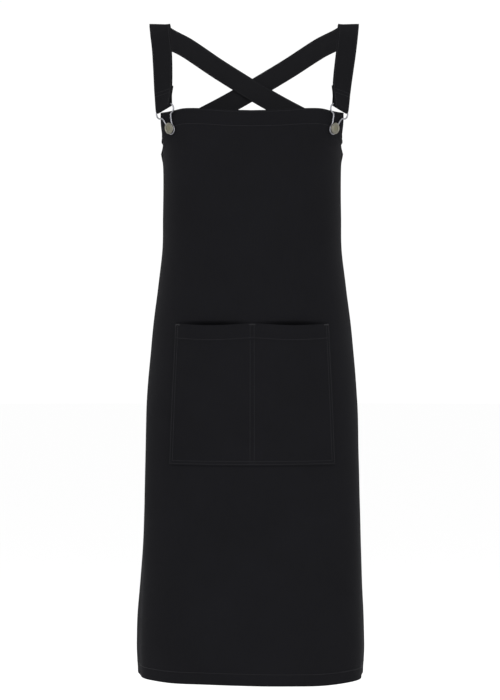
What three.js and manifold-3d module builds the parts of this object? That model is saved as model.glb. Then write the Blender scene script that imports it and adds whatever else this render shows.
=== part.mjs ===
// Cross back apron in its worn shape. Millimetres, +Z up, the front faces -Y.
// The origin lies midway between the shoulders, level with the top of both straps.
// Left and right are as seen from the front.

import * as THREE from 'three';
import { mergeVertices } from 'three/addons/utils/BufferGeometryUtils.js';
import Module from 'manifold-3d';

const wasm = await Module();
wasm.setup();

// The panel as it is cut and hemmed, measured flat
const APRON_LENGTH = 860;
const BIB_HALF_WIDTH = 152;
const BIB_SIDE_LENGTH = 28;
const BIB_SIDE_FLARE = 4;
const BIB_TOP_SAG = 3;
const ARMHOLE_REACH = 205;
const ARMHOLE_DROP = 66;
const WING_REACH = 268;
const WING_DROP = 24;
const HEM_REACH = 350;
const CLOTH_THICKNESS = 1.2;
const HEM_THICKNESS = 2.2;
const TOP_HEM = 26;
const SIDE_HEM = 9;
const BOTTOM_HEM = 20;
const HEM_STEP = 1.5;

// The shape that it is worn in
const BIB_TOP_DROP = 141;
const BODY_HALF_WIDTH = 174.5;
const BODY_HALF_DEPTH = 150;

// The patch pocket
const POCKET_DROP = 319;
const POCKET_HEIGHT = 213;
const POCKET_TOP_HALF_WIDTH = 123;
const POCKET_BOTTOM_HALF_WIDTH = 133;
const POCKET_HEM = 24;
const POCKET_GAPE = 6;
const POCKET_DROOP = 3.5;
const POCKET_DENT = 8;
const DENT_BROW = 5;
const MOUTH_POWER = 1.4;
const GAPE_DEPTH_SHARE = 0.625;

// The straps
const STRAP_WIDTH = 32;
const STRAP_THICKNESS = 1.8;
const STRAP_TAIL = 34;
const STRAP_OVERLAP = 44;
const SHOULDER_HALF_SPAN = 143.5;
const CROSSING_DROP = 87;
const CROSSING_GAP = 1.7;
const WING_SEAT = 1.3;

// The buckles and the buttons
const WIRE_DIAMETER = 2.4;
const BUCKLE_REACH = 33;
const BUCKLE_OVERHANG = 3.8;
const BUCKLE_LEAN = 20;
const LOOP_RADIUS = 7.4;
const LOOP_DROP = 1.4;
const WIRE_END_GAP = 0.8;
const BUTTON_DIAMETER = 17.6;
const BUTTON_INSET = 17;
const BUTTON_DROP = 24.5;
const BUTTON_THICKNESS = 3;
const SHANK_DIAMETER = 5.6;
const PIN_DIAMETER = 3;
const TACK_DIAMETER = 11;
const TACK_THICKNESS = 1.4;
const TACK_GAP = 0.8;

// Clearances
const STITCHED_GAP = 0.3;
const SEAM_GAP = 0.45;
const METAL_GAP = 0.35;

// The body form, one row for each level. The first two columns are shares of APRON_LENGTH and
// BODY_HALF_WIDTH, depth and front are shares of BODY_HALF_DEPTH, and roundness is the power
// of the level's superellipse, 2 for an ellipse.
const FORM = [
  { drop: -0.08, width: 0.86, depth: 0.740, front: 0.715, roundness: 2.30 },
  { drop: 0.000, width: 0.872, depth: 0.745, front: 0.720, roundness: 2.32 },
  { drop: 0.035, width: 0.838, depth: 0.755, front: 0.740, roundness: 2.30 },
  { drop: 0.077, width: 0.802, depth: 0.765, front: 0.760, roundness: 2.26 },
  { drop: 0.115, width: 0.787, depth: 0.770, front: 0.770, roundness: 2.24 },
  { drop: 0.180, width: 0.784, depth: 0.775, front: 0.775, roundness: 2.24 },
  { drop: 0.238, width: 0.786, depth: 0.780, front: 0.780, roundness: 2.24 },
  { drop: 0.300, width: 0.822, depth: 0.800, front: 0.800, roundness: 2.24 },
  { drop: 0.364, width: 0.860, depth: 0.830, front: 0.820, roundness: 2.25 },
  { drop: 0.417, width: 0.884, depth: 0.855, front: 0.840, roundness: 2.26 },
  { drop: 0.507, width: 0.920, depth: 0.890, front: 0.865, roundness: 2.27 },
  { drop: 0.597, width: 0.941, depth: 0.920, front: 0.885, roundness: 2.28 },
  { drop: 0.700, width: 0.959, depth: 0.945, front: 0.900, roundness: 2.29 },
  { drop: 0.830, width: 0.978, depth: 0.975, front: 0.920, roundness: 2.30 },
  { drop: 0.950, width: 1.000, depth: 1.000, front: 0.935, roundness: 2.30 },
  { drop: 1.000, width: 0.990, depth: 0.995, front: 0.930, roundness: 2.30 },
];

// The armhole between the bib's side and the wing's corner: reach is the share of the way from
// the bib's side edge to its lowest point, or from there to the corner, and fall the share of the drop.
const ARMHOLE_FRONT = [
  { reach: 0.00, fall: 0.00 },
  { reach: 0.30, fall: 0.46 },
  { reach: 0.62, fall: 0.80 },
  { reach: 1.00, fall: 1.00 },
];
const ARMHOLE_BACK = [
  { reach: 0.00, fall: 1.00 },
  { reach: 0.32, fall: 0.80 },
  { reach: 0.66, fall: 0.42 },
  { reach: 1.00, fall: 0.00 },
];

// A strap's way over the shoulder, from front to back. The first three columns are shares of
// STRAP_WIDTH from the shoulder's top, and the others are the direction of the strap's width,
// from its outer to its inner edge.
const SHOULDER = [
  { inward: 0.02, back: -0.62, up: -1.10, sideIn: 0.905, sideBack: -0.42, sideUp: 0.10 },
  { inward: 0.00, back: -0.22, up: -0.36, sideIn: 0.905, sideBack: -0.40, sideUp: 0.14 },
  { inward: 0.00, back: 0.02, up: -0.03, sideIn: 0.880, sideBack: -0.35, sideUp: 0.30 },
  { inward: 0.03, back: 0.30, up: -0.18, sideIn: 0.740, sideBack: -0.22, sideUp: 0.64 },
  { inward: 0.14, back: 0.62, up: -0.50, sideIn: 0.580, sideBack: -0.06, sideUp: 0.82 },
];

// The run down the upper back, as shares of the way from the shoulder to the crossing
const UPPER_BACK = [
  { across: 0.27, back: 0.470, down: 0.285 },
  { across: 0.60, back: 0.850, down: 0.610 },
  { across: 0.86, back: 0.996, down: 0.865 },
];

// The slant of a strap's width on the back, from its lower to its upper edge
const BACK_SLANT = { across: 0.53, up: 0.85 };

// The way round the back below the crossing, as shares of the way to the strap's end
const ROUND_BACK = [
  { across: 0.00, fall: 0.000, lift: 1.0 },
  { across: 0.11, fall: 0.094, lift: 1.0 },
  { across: 0.24, fall: 0.207, lift: 0.8 },
  { across: 0.48, fall: 0.422, lift: 0.3 },
  { across: 0.70, fall: 0.650, lift: 0.0 },
  { across: 0.86, fall: 0.834, lift: 0.0 },
  { across: 1.00, fall: 1.000, lift: 0.0 },
];

// One half of the buckle's bent wire, from its neck to the bar. Wide is a share of its
// shoulder's half width, and high a share of BUCKLE_REACH above the button's middle.
const BUCKLE_SIDE = [
  { wide: 0.305, high: 0.215 },
  { wide: 0.370, high: 0.360 },
  { wide: 0.435, high: 0.500 },
  { wide: 0.530, high: 0.595 },
  { wide: 0.700, high: 0.625 },
  { wide: 0.890, high: 0.680 },
  { wide: 1.000, high: 0.800 },
  { wide: 0.965, high: 0.930 },
  { wide: 0.850, high: 1.000 },
];

// A jeans button from the middle of its face outwards: wide is a share of its radius, and
// high a share of BUTTON_THICKNESS above the cap's underside.
const BUTTON_CAP = [
  { wide: 0.000, high: 0.90 },
  { wide: 0.420, high: 0.84 },
  { wide: 0.660, high: 0.72 },
  { wide: 0.760, high: 0.74 },
  { wide: 0.860, high: 0.98 },
  { wide: 0.950, high: 0.92 },
  { wide: 1.000, high: 0.56 },
  { wide: 0.960, high: 0.16 },
  { wide: 0.860, high: 0.00 },
];

// The tack on the inside, as shares of its radius and of its thickness
const TACK_RIM = [
  { wide: 1, high: 0 },
  { wide: 1, high: 0.4 },
  { wide: 0.72, high: 0.9 },
  { wide: 0, high: 1 },
];

// How finely the faceted solids are drawn
const OUTLINE_STEPS = 360;
const HALF_COLUMNS = 12;
const WING_COLUMNS = 8;
const BUTTON_SIDES = 20;
const WIRE_SIDES = 8;
const WIRE_STEPS = 60;
const STRAP_STEP = 11;
const FOLD_STEPS = 8;
const UPPER_ROWS = 6;
const LOWER_ROWS = 7;
const FADE_ROWS = [0.1, 0.35, 0.65, 1];
const BROW_ROW = 1 / 3;
const POCKET_COLUMNS = 20;
const POCKET_ROWS = 6;
const LOOP_TURNS = [90, 45, 0, -35];
const BAR_KNOT = 0.4;
const DRILL_LENGTH = 6 * HEM_THICKNESS;
const NUDGE = 3;
const WELD_DISTANCE = 1e-4;
const LEVELS_PER_MM = 1000;

function smooth(x) {
  const t = Math.min(1, Math.max(0, x));
  return t * t * (3 - 2 * t);
}

// A smooth curve through the rows of a table: key is the column that it runs along
function follow(table, key, at, column) {
  const last = table.length - 1;
  const x = Math.min(table[last][key], Math.max(table[0][key], at));
  let i = 0;
  while (i < last - 1 && x > table[i + 1][key]) {
    i += 1;
  }
  const slope = (j) => {
    const before = table[Math.max(0, j - 1)];
    const after = table[Math.min(last, j + 1)];
    return (after[column] - before[column]) / (after[key] - before[key]);
  };
  const span = table[i + 1][key] - table[i][key];
  const t = (x - table[i][key]) / span;
  const rise = table[i + 1][column] - table[i][column];
  const a = slope(i) * span - rise;
  const b = rise - slope(i + 1) * span;
  return table[i][column] + rise * t + t * (1 - t) * (a * (1 - t) + b * t);
}

// The body's outline at one level, from the middle of the front round to the middle of the back
function outlineAt(drop) {
  const level = drop / APRON_LENGTH;
  const halfWidth = BODY_HALF_WIDTH * follow(FORM, 'drop', level, 'width');
  const halfDepth = BODY_HALF_DEPTH * follow(FORM, 'drop', level, 'depth');
  const front = BODY_HALF_DEPTH * follow(FORM, 'drop', level, 'front');
  const power = 2 / follow(FORM, 'drop', level, 'roundness');
  const points = [];
  let reach = 0;
  for (let i = 0; i <= OUTLINE_STEPS; i += 1) {
    const angle = Math.PI * i / OUTLINE_STEPS;
    const sine = Math.max(0, Math.sin(angle));
    const cosine = Math.cos(angle);
    const x = halfWidth * sine ** power;
    const y = halfDepth - front - halfDepth * Math.sign(cosine) * Math.abs(cosine) ** power;
    if (i > 0) {
      const before = points[i - 1];
      reach += Math.hypot(x - before.x, y - before.y);
    }
    points.push({ x, y, reach });
  }
  return points;
}

const outlines = new Map();

function placeOnBody(across, drop) {
  const level = Math.round(drop * LEVELS_PER_MM) / LEVELS_PER_MM;
  if (!outlines.has(level)) {
    outlines.set(level, outlineAt(level));
  }
  const points = outlines.get(level);
  const reach = Math.min(Math.abs(across), points[OUTLINE_STEPS].reach);
  let low = 0;
  let high = OUTLINE_STEPS;
  while (high - low > 1) {
    const middle = (low + high) >> 1;
    if (points[middle].reach < reach) {
      low = middle;
    } else {
      high = middle;
    }
  }
  const share = (reach - points[low].reach) / (points[high].reach - points[low].reach);
  const x = points[low].x + share * (points[high].x - points[low].x);
  const y = points[low].y + share * (points[high].y - points[low].y);
  return new THREE.Vector3(across < 0 ? -x : x, y, -BIB_TOP_DROP - drop);
}

// Half of the body's girth at one level
function halfGirth(drop) {
  return outlineAt(drop)[OUTLINE_STEPS].reach;
}

// The body's surface at a place on the flat pattern, with its directions
function bodyFrame(across, drop) {
  const point = placeOnBody(across, drop);
  const right = placeOnBody(across + NUDGE, drop).sub(placeOnBody(across - NUDGE, drop)).normalize();
  const down = placeOnBody(across, drop + NUDGE).sub(placeOnBody(across, drop - NUDGE)).normalize();
  const out = down.clone().cross(right).normalize();
  return { point, right, down, out };
}

// The two mouths of the pocket: 0 at the sides and at the middle seam, 1 where they stand open
function mouth(across) {
  const share = Math.min(1, Math.abs(across) / POCKET_TOP_HALF_WIDTH);
  return Math.sin(Math.PI * share) ** MOUTH_POWER;
}

// How far the panel sinks in behind the pocket's mouths
function dent(across, drop) {
  const brow = smooth((drop - POCKET_DROP + DENT_BROW) / (DENT_BROW + POCKET_DROOP));
  const fade = 1 - smooth((drop - POCKET_DROP - POCKET_DROOP) / (POCKET_HEIGHT / 2));
  return POCKET_DENT * mouth(across) * brow * fade;
}

function at(frame, out) {
  return frame.point.clone().addScaledVector(frame.out, out);
}

// A closed mesh from a list of points and triangles
function solidFrom(points, faces) {
  const geometry = new THREE.BufferGeometry();
  const positions = new Float32Array(points.length * 3);
  points.forEach((p, i) => p.toArray(positions, i * 3));
  geometry.setAttribute('position', new THREE.BufferAttribute(positions, 3));
  geometry.setIndex(faces);
  return geometry;
}

// A wall between two faces of the same quads, closed along every free edge
function wall(outer, inner, quads) {
  const count = outer.length;
  const faces = [];
  const edges = new Map();
  for (const [a, b, c, d] of quads) {
    faces.push(a, b, c, a, c, d);
    faces.push(count + a, count + c, count + b, count + a, count + d, count + c);
    for (const [from, to] of [[a, b], [b, c], [c, d], [d, a]]) {
      if (!edges.delete(`${to},${from}`)) {
        edges.set(`${from},${to}`, [from, to]);
      }
    }
  }
  for (const [from, to] of edges.values()) {
    faces.push(to, from, count + from, to, count + from, count + to);
  }
  return solidFrom([...outer, ...inner], faces);
}

function clean(geometry) {
  const bare = geometry.clone();
  bare.deleteAttribute('normal');
  bare.deleteAttribute('uv');
  return mergeVertices(bare, WELD_DISTANCE);
}

function toManifold(geometry) {
  const merged = clean(geometry);
  return new wasm.Manifold(new wasm.Mesh({
    numProp: 3,
    vertProperties: Float32Array.from(merged.attributes.position.array),
    triVerts: Uint32Array.from(merged.index.array),
  }));
}

function fromManifold(body) {
  const mesh = body.getMesh();
  const geometry = new THREE.BufferGeometry();
  geometry.setAttribute('position', new THREE.BufferAttribute(mesh.vertProperties, 3));
  geometry.setIndex(new THREE.BufferAttribute(mesh.triVerts, 1));
  return geometry;
}

// The lower edge of the armhole and of the wing, as a drop below the bib's top
function armholeDrop(across) {
  const bibEdge = BIB_HALF_WIDTH + BIB_SIDE_FLARE;
  if (across <= ARMHOLE_REACH) {
    const share = (across - bibEdge) / (ARMHOLE_REACH - bibEdge);
    const fall = follow(ARMHOLE_FRONT, 'reach', share, 'fall');
    return BIB_SIDE_LENGTH + fall * (ARMHOLE_DROP - BIB_SIDE_LENGTH);
  }
  const share = (across - ARMHOLE_REACH) / (WING_REACH - ARMHOLE_REACH);
  const fall = follow(ARMHOLE_BACK, 'reach', share, 'fall');
  return WING_DROP + fall * (ARMHOLE_DROP - WING_DROP);
}

function backEdge(drop) {
  const share = (drop - WING_DROP) / (APRON_LENGTH - WING_DROP);
  return WING_REACH + share * (HEM_REACH - WING_REACH);
}

// Shares of the way from the middle to an edge, with a hem of its own along the edge
function columnShares(count, width, hem) {
  const plain = (width - hem - HEM_STEP) / width;
  const shares = [];
  for (let i = 0; i <= count; i += 1) {
    shares.push(plain * i / count);
  }
  shares.push((width - hem) / width, 1);
  return shares;
}

// The panel's levels below the bib's side edge
function panelLevels() {
  const start = BIB_SIDE_LENGTH;
  const levels = [start, start + SIDE_HEM, start + SIDE_HEM + HEM_STEP];
  const top = start + SIDE_HEM + HEM_STEP;
  const brow = POCKET_DROP - DENT_BROW;
  for (let i = 1; i <= UPPER_ROWS; i += 1) {
    levels.push(top + (brow - top) * i / UPPER_ROWS);
  }
  const lip = POCKET_DROP + POCKET_DROOP;
  const fadeEnd = lip + POCKET_HEIGHT / 2;
  levels.push(POCKET_DROP - DENT_BROW * BROW_ROW, lip);
  for (const share of FADE_ROWS) {
    levels.push(lip + share * (fadeEnd - lip));
  }
  const bottom = APRON_LENGTH - BOTTOM_HEM - HEM_STEP;
  for (let i = 1; i <= LOWER_ROWS; i += 1) {
    levels.push(fadeEnd + (bottom - fadeEnd) * i / LOWER_ROWS);
  }
  levels.push(APRON_LENGTH - BOTTOM_HEM, APRON_LENGTH);
  return levels;
}

// The flat pattern as a net of places, each with its wall thickness, and the quads between them
function panelPattern() {
  const places = [];
  const quads = [];
  const bibEdge = BIB_HALF_WIDTH + BIB_SIDE_FLARE;
  const half = columnShares(HALF_COLUMNS, BIB_HALF_WIDTH, SIDE_HEM);
  const middle = [...half.slice(1).reverse().map((share) => -share), ...half];
  const add = (across, drop, hemmed) => {
    places.push({ across, drop, thickness: hemmed ? HEM_THICKNESS : CLOTH_THICKNESS });
    return places.length - 1;
  };
  const join = (above, below) => {
    for (let i = 0; i + 1 < above.length; i += 1) {
      quads.push([above[i], below[i], below[i + 1], above[i + 1]]);
    }
  };
  const headLevels = [0, TOP_HEM / 2, TOP_HEM, BIB_SIDE_LENGTH];
  const levels = panelLevels();
  const span = APRON_LENGTH - BIB_SIDE_LENGTH;
  let above = null;
  for (const drop of headLevels) {
    const edge = BIB_HALF_WIDTH + BIB_SIDE_FLARE * drop / BIB_SIDE_LENGTH;
    const row = middle.map((share) => {
      const sag = BIB_TOP_SAG * (1 - share * share) ** 2 * (1 - drop / BIB_SIDE_LENGTH);
      const hemmed = drop <= TOP_HEM || Math.abs(share) * BIB_HALF_WIDTH >= BIB_HALF_WIDTH - SIDE_HEM;
      return add(share * edge, drop + sag, hemmed);
    });
    if (above) {
      join(above, row);
    }
    above = row;
  }
  const wingWidth = WING_REACH - bibEdge;
  const wing = columnShares(WING_COLUMNS, wingWidth, SIDE_HEM).slice(1);
  const rows = levels.map((level, k) => {
    const share = (level - BIB_SIDE_LENGTH) / span;
    const bottomHem = level >= APRON_LENGTH - BOTTOM_HEM;
    const middleRow = k === 0 ? above : middle.map((part) => add(part * bibEdge, level, bottomHem));
    const wingRow = (sign) => wing.map((part) => {
      const start = armholeDrop(bibEdge + part * wingWidth);
      const drop = start + share * (APRON_LENGTH - start);
      const across = bibEdge + part * (backEdge(drop) - bibEdge);
      const hemmed = bottomHem || k <= 1 || part * wingWidth >= wingWidth - SIDE_HEM;
      return add(sign * across, drop, hemmed);
    });
    return [...wingRow(-1).reverse(), ...middleRow, ...wingRow(1)];
  });
  for (let k = 0; k + 1 < rows.length; k += 1) {
    join(rows[k], rows[k + 1]);
  }
  return { places, quads };
}

// Where the buttons sit on the bib, with the directions there
const BUTTON_ACROSS = BIB_HALF_WIDTH - BUTTON_INSET;

function buttonFrame(side) {
  const frame = bodyFrame(side * BUTTON_ACROSS, BUTTON_DROP);
  const inner = frame.right.clone().multiplyScalar(-side);
  const up = frame.down.clone().negate();
  return { point: frame.point, inner, up, out: frame.out };
}

// A matrix that stands a lathed piece's axis along the cloth's outward direction
function standOn(frame) {
  const axis = frame.out;
  const across = frame.inner.clone().addScaledVector(axis, -frame.inner.dot(axis)).normalize();
  const third = across.clone().cross(axis);
  return new THREE.Matrix4().makeBasis(across, axis, third).setPosition(frame.point);
}

function makePanel() {
  const { places, quads } = panelPattern();
  const outer = [];
  const inner = [];
  for (const { across, drop, thickness } of places) {
    const frame = bodyFrame(across, drop);
    const sunk = -dent(across, drop);
    outer.push(at(frame, sunk));
    inner.push(at(frame, sunk - thickness));
  }
  let body = toManifold(wall(outer, inner, quads));
  const radius = PIN_DIAMETER / 2 + STITCHED_GAP;
  for (const side of [-1, 1]) {
    const drill = new THREE.CylinderGeometry(radius, radius, DRILL_LENGTH, BUTTON_SIDES);
    drill.applyMatrix4(standOn(buttonFrame(side)));
    body = body.subtract(toManifold(drill));
  }
  return fromManifold(body);
}

// The pocket lies on the panel, sewn down at its sides, its bottom and its middle
function makePocket() {
  const hemLevels = [0, POCKET_HEM / 2, POCKET_HEM];
  const plainTop = POCKET_HEM + HEM_STEP;
  const levels = [...hemLevels, plainTop];
  for (let i = 1; i <= POCKET_ROWS; i += 1) {
    levels.push(plainTop + (POCKET_HEIGHT - plainTop) * i / POCKET_ROWS);
  }
  const outer = [];
  const inner = [];
  const quads = [];
  levels.forEach((level, k) => {
    const share = level / POCKET_HEIGHT;
    const width = POCKET_TOP_HALF_WIDTH
      + share * (POCKET_BOTTOM_HALF_WIDTH - POCKET_TOP_HALF_WIDTH);
    const fade = 1 - smooth(share / GAPE_DEPTH_SHARE);
    for (let i = 0; i <= POCKET_COLUMNS; i += 1) {
      const part = 2 * i / POCKET_COLUMNS - 1;
      const open = mouth(part * POCKET_TOP_HALF_WIDTH) * fade;
      const drop = POCKET_DROP + level + POCKET_DROOP * open;
      const frame = bodyFrame(part * width, drop);
      const back = SEAM_GAP + POCKET_GAPE * open;
      const thickness = k < hemLevels.length ? HEM_THICKNESS : CLOTH_THICKNESS;
      outer.push(at(frame, back + thickness));
      inner.push(at(frame, back));
      if (k > 0 && i > 0) {
        const here = k * (POCKET_COLUMNS + 1) + i;
        const above = here - POCKET_COLUMNS - 1;
        quads.push([above - 1, here - 1, here, above]);
      }
    }
  });
  return wall(outer, inner, quads);
}

// The directions of a buckle: along its bar from the outer to the inner side, and up its middle
function buckleFrame(side) {
  const button = buttonFrame(side);
  const lean = THREE.MathUtils.degToRad(BUCKLE_LEAN);
  const along = button.inner.clone()
    .multiplyScalar(Math.cos(lean))
    .addScaledVector(button.up, Math.sin(lean));
  const up = button.up.clone()
    .multiplyScalar(Math.cos(lean))
    .addScaledVector(button.inner, -Math.sin(lean));
  const lift = STITCHED_GAP + WIRE_DIAMETER / 2;
  const middle = button.point.clone().addScaledVector(button.out, lift);
  return { middle, along, up, out: button.out };
}

function barMiddle(side) {
  const frame = buckleFrame(side);
  return frame.middle.clone().addScaledVector(frame.up, BUCKLE_REACH);
}

function makeBuckle(side) {
  const frame = buckleFrame(side);
  const place = (wide, high) => frame.middle.clone()
    .addScaledVector(frame.along, wide)
    .addScaledVector(frame.up, high);
  const half = [];
  for (const turn of LOOP_TURNS) {
    const angle = THREE.MathUtils.degToRad(-turn);
    half.push([LOOP_RADIUS * Math.cos(angle), LOOP_RADIUS * Math.sin(angle) - LOOP_DROP]);
  }
  const shoulder = STRAP_WIDTH / 2 + BUCKLE_OVERHANG;
  for (const row of BUCKLE_SIDE) {
    half.push([row.wide * shoulder, row.high * BUCKLE_REACH]);
  }
  half.push([shoulder * BAR_KNOT, BUCKLE_REACH], [WIRE_END_GAP / 2, BUCKLE_REACH]);
  const right = half.map(([wide, high]) => place(wide, high));
  const left = half.slice(1).map(([wide, high]) => place(-wide, high));
  const route = new THREE.CatmullRomCurve3([...left.reverse(), ...right], false, 'centripetal');
  const section = new THREE.Shape();
  section.absarc(0, 0, WIRE_DIAMETER / 2, 0, 2 * Math.PI);
  return new THREE.ExtrudeGeometry(section, {
    extrudePath: route,
    steps: WIRE_STEPS,
    curveSegments: WIRE_SIDES / 2,
    bevelEnabled: false,
  });
}

function makeButton(side) {
  const capRadius = BUTTON_DIAMETER / 2;
  const shankTop = STITCHED_GAP + WIRE_DIAMETER + METAL_GAP;
  const profile = BUTTON_CAP.map(({ wide, high }) => [
    wide * capRadius,
    shankTop + high * BUTTON_THICKNESS,
  ]);
  const tackFace = -HEM_THICKNESS - TACK_GAP;
  profile.push(
    [SHANK_DIAMETER / 2, shankTop],
    [SHANK_DIAMETER / 2, STITCHED_GAP],
    [PIN_DIAMETER / 2, STITCHED_GAP],
    [PIN_DIAMETER / 2, tackFace],
  );
  for (const { wide, high } of TACK_RIM) {
    profile.push([wide * TACK_DIAMETER / 2, tackFace - high * TACK_THICKNESS]);
  }
  const points = profile.reverse().map(([wide, high]) => new THREE.Vector2(wide, high));
  const geometry = new THREE.LatheGeometry(points, BUTTON_SIDES);
  return geometry.applyMatrix4(standOn(buttonFrame(side)));
}

// The strap's stations from its tail behind the buckle's bar to its end on the wing.
// Each has the middle of the strap and the direction of its width.
function strapStations(side) {
  const stations = [];
  const add = (point, width) => stations.push({ point, width: width.clone().normalize() });
  const bar = barMiddle(side);
  const along = buckleFrame(side).along;
  const shoulder = SHOULDER.map((row) => ({
    point: new THREE.Vector3(
      side * (SHOULDER_HALF_SPAN - row.inward * STRAP_WIDTH),
      row.back * STRAP_WIDTH,
      row.up * STRAP_WIDTH,
    ),
    width: new THREE.Vector3(-side * row.sideIn, row.sideBack, row.sideUp),
  }));

  // The end that is folded round the bar
  const rise = shoulder[0].point.clone().sub(bar);
  rise.addScaledVector(along, -rise.dot(along)).normalize();
  const out = rise.clone().cross(along).multiplyScalar(side);
  const turn = WIRE_DIAMETER / 2 + METAL_GAP + STRAP_THICKNESS / 2;
  const behind = turn - STRAP_THICKNESS - STITCHED_GAP;
  const near = (outward, upward) => bar.clone()
    .addScaledVector(out, outward)
    .addScaledVector(rise, upward);
  add(near(behind, STRAP_TAIL), along);
  add(near(behind, STRAP_TAIL / 2), along);
  for (let i = 0; i <= FOLD_STEPS; i += 1) {
    const angle = Math.PI * (1 - i / FOLD_STEPS);
    add(near(turn * Math.cos(angle), -turn * Math.sin(angle)), along);
  }
  add(near(turn, STRAP_TAIL / 3), along);
  add(near(turn, STRAP_TAIL), along);
  shoulder.forEach(({ point, width }) => add(point, width));

  // The upper back, down to the crossing
  const crossingLevel = CROSSING_DROP - BIB_TOP_DROP;
  const girth = halfGirth(crossingLevel);
  const seat = WING_SEAT + STRAP_THICKNESS / 2;
  const overlift = side > 0 ? STRAP_THICKNESS + CROSSING_GAP : 0;
  const crossing = placeOnBody(girth, crossingLevel);
  crossing.setX(0);
  crossing.y += seat + overlift;
  const last = shoulder[shoulder.length - 1];
  const backWidth = new THREE.Vector3(-side * BACK_SLANT.across, 0, BACK_SLANT.up);
  for (const row of UPPER_BACK) {
    const point = new THREE.Vector3(
      THREE.MathUtils.lerp(last.point.x, crossing.x, row.across),
      THREE.MathUtils.lerp(last.point.y, crossing.y, row.back),
      THREE.MathUtils.lerp(last.point.z, crossing.z, row.down),
    );
    add(point, backWidth);
  }
  add(crossing, backWidth);

  // Round the back to the other side's wing
  const endReach = WING_REACH - STRAP_OVERLAP * BACK_SLANT.up;
  const endDrop = WING_DROP + (STRAP_WIDTH / 2) / BACK_SLANT.up + STRAP_OVERLAP * BACK_SLANT.across;
  const route = [];
  const routeSteps = Math.ceil((girth - endReach) / STRAP_STEP);
  for (let i = 1; i <= routeSteps; i += 1) {
    const share = i / routeSteps;
    const fall = follow(ROUND_BACK, 'across', share, 'fall');
    const lift = follow(ROUND_BACK, 'across', share, 'lift');
    const reach = THREE.MathUtils.lerp(girth, endReach, share);
    const drop = THREE.MathUtils.lerp(crossingLevel, endDrop, fall);
    const frame = bodyFrame(-side * reach, drop);
    route.push({ point: at(frame, seat + overlift * lift), out: frame.out });
  }
  route.forEach(({ point, out: outward }, i) => {
    const before = i > 0 ? route[i - 1].point : crossing;
    const after = route[Math.min(i + 1, route.length - 1)].point;
    const width = after.clone().sub(before).cross(outward).multiplyScalar(-side);
    add(point, width);
  });
  return stations;
}

function makeStrap(side) {
  const stations = strapStations(side);
  const middle = new THREE.CatmullRomCurve3(stations.map((s) => s.point), false, 'centripetal');
  const widths = new THREE.CatmullRomCurve3(stations.map((s) => s.width), false, 'catmullrom');
  const spans = stations.length - 1;
  const marks = [0];
  for (let i = 0; i < spans; i += 1) {
    const length = stations[i].point.distanceTo(stations[i + 1].point);
    const steps = Math.max(1, Math.ceil(length / STRAP_STEP));
    for (let k = 1; k <= steps; k += 1) {
      marks.push((i + k / steps) / spans);
    }
  }
  const outer = [];
  const inner = [];
  const quads = [];
  marks.forEach((mark, i) => {
    const point = middle.getPoint(mark);
    const along = middle.getTangent(mark);
    const width = widths.getPoint(mark);
    width.addScaledVector(along, -width.dot(along)).setLength(STRAP_WIDTH / 2);
    const out = along.clone().cross(width).setLength(STRAP_THICKNESS / 2);
    for (const edge of [-1, 1]) {
      const rim = point.clone().addScaledVector(width, edge);
      outer.push(rim.clone().add(out));
      inner.push(rim.clone().sub(out));
    }
    if (i > 0) {
      quads.push([2 * i - 2, 2 * i - 1, 2 * i + 1, 2 * i]);
    }
  });
  return wall(outer, inner, quads);
}

// Turns a closed mesh so that its faces point out
function facingOut(geometry) {
  const merged = clean(geometry);
  const corner = merged.attributes.position;
  const index = merged.index;
  const [a, b, c] = [new THREE.Vector3(), new THREE.Vector3(), new THREE.Vector3()];
  let volume = 0;
  for (let i = 0; i < index.count; i += 3) {
    a.fromBufferAttribute(corner, index.getX(i));
    b.fromBufferAttribute(corner, index.getX(i + 1));
    c.fromBufferAttribute(corner, index.getX(i + 2));
    volume += a.dot(b.cross(c));
  }
  if (volume < 0) {
    for (let i = 0; i < index.count; i += 3) {
      const first = index.getX(i);
      index.setX(i, index.getX(i + 2));
      index.setX(i + 2, first);
    }
  }
  merged.computeVertexNormals();
  return merged;
}

const group = new THREE.Group();

function addPiece(name, geometry, finish) {
  const mesh = new THREE.Mesh(facingOut(geometry), new THREE.MeshStandardMaterial(finish));
  mesh.name = name;
  group.add(mesh);
}

const TWILL = { color: 0x1c1c1f, roughness: 0.92, metalness: 0 };
const STRAP_TWILL = { color: 0x1f1f20, roughness: 0.9, metalness: 0 };
const NICKEL = { color: 0x96969b, roughness: 0.35, metalness: 1 };
const OLD_NICKEL = { color: 0x77766a, roughness: 0.5, metalness: 1 };

addPiece('apron_panel', makePanel(), TWILL);
addPiece('pocket', makePocket(), TWILL);
for (const [word, side] of [['left', -1], ['right', 1]]) {
  addPiece(`strap_${word}`, makeStrap(side), STRAP_TWILL);
  addPiece(`buckle_${word}`, makeBuckle(side), NICKEL);
  addPiece(`button_${word}`, makeButton(side), OLD_NICKEL);
}

export default group;
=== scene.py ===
"""Cross back apron in black twill, worn shape: cloth, straps, wire buckles, buttons and stitching.

Lengths are in metres, the front faces -Y, and the origin lies between the shoulders. The cloth is laid
out flat, as it is cut, and then put round a body form.
"""
import math

import bmesh
import bpy
import numpy as np
from mathutils import Matrix, Vector, noise


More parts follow.
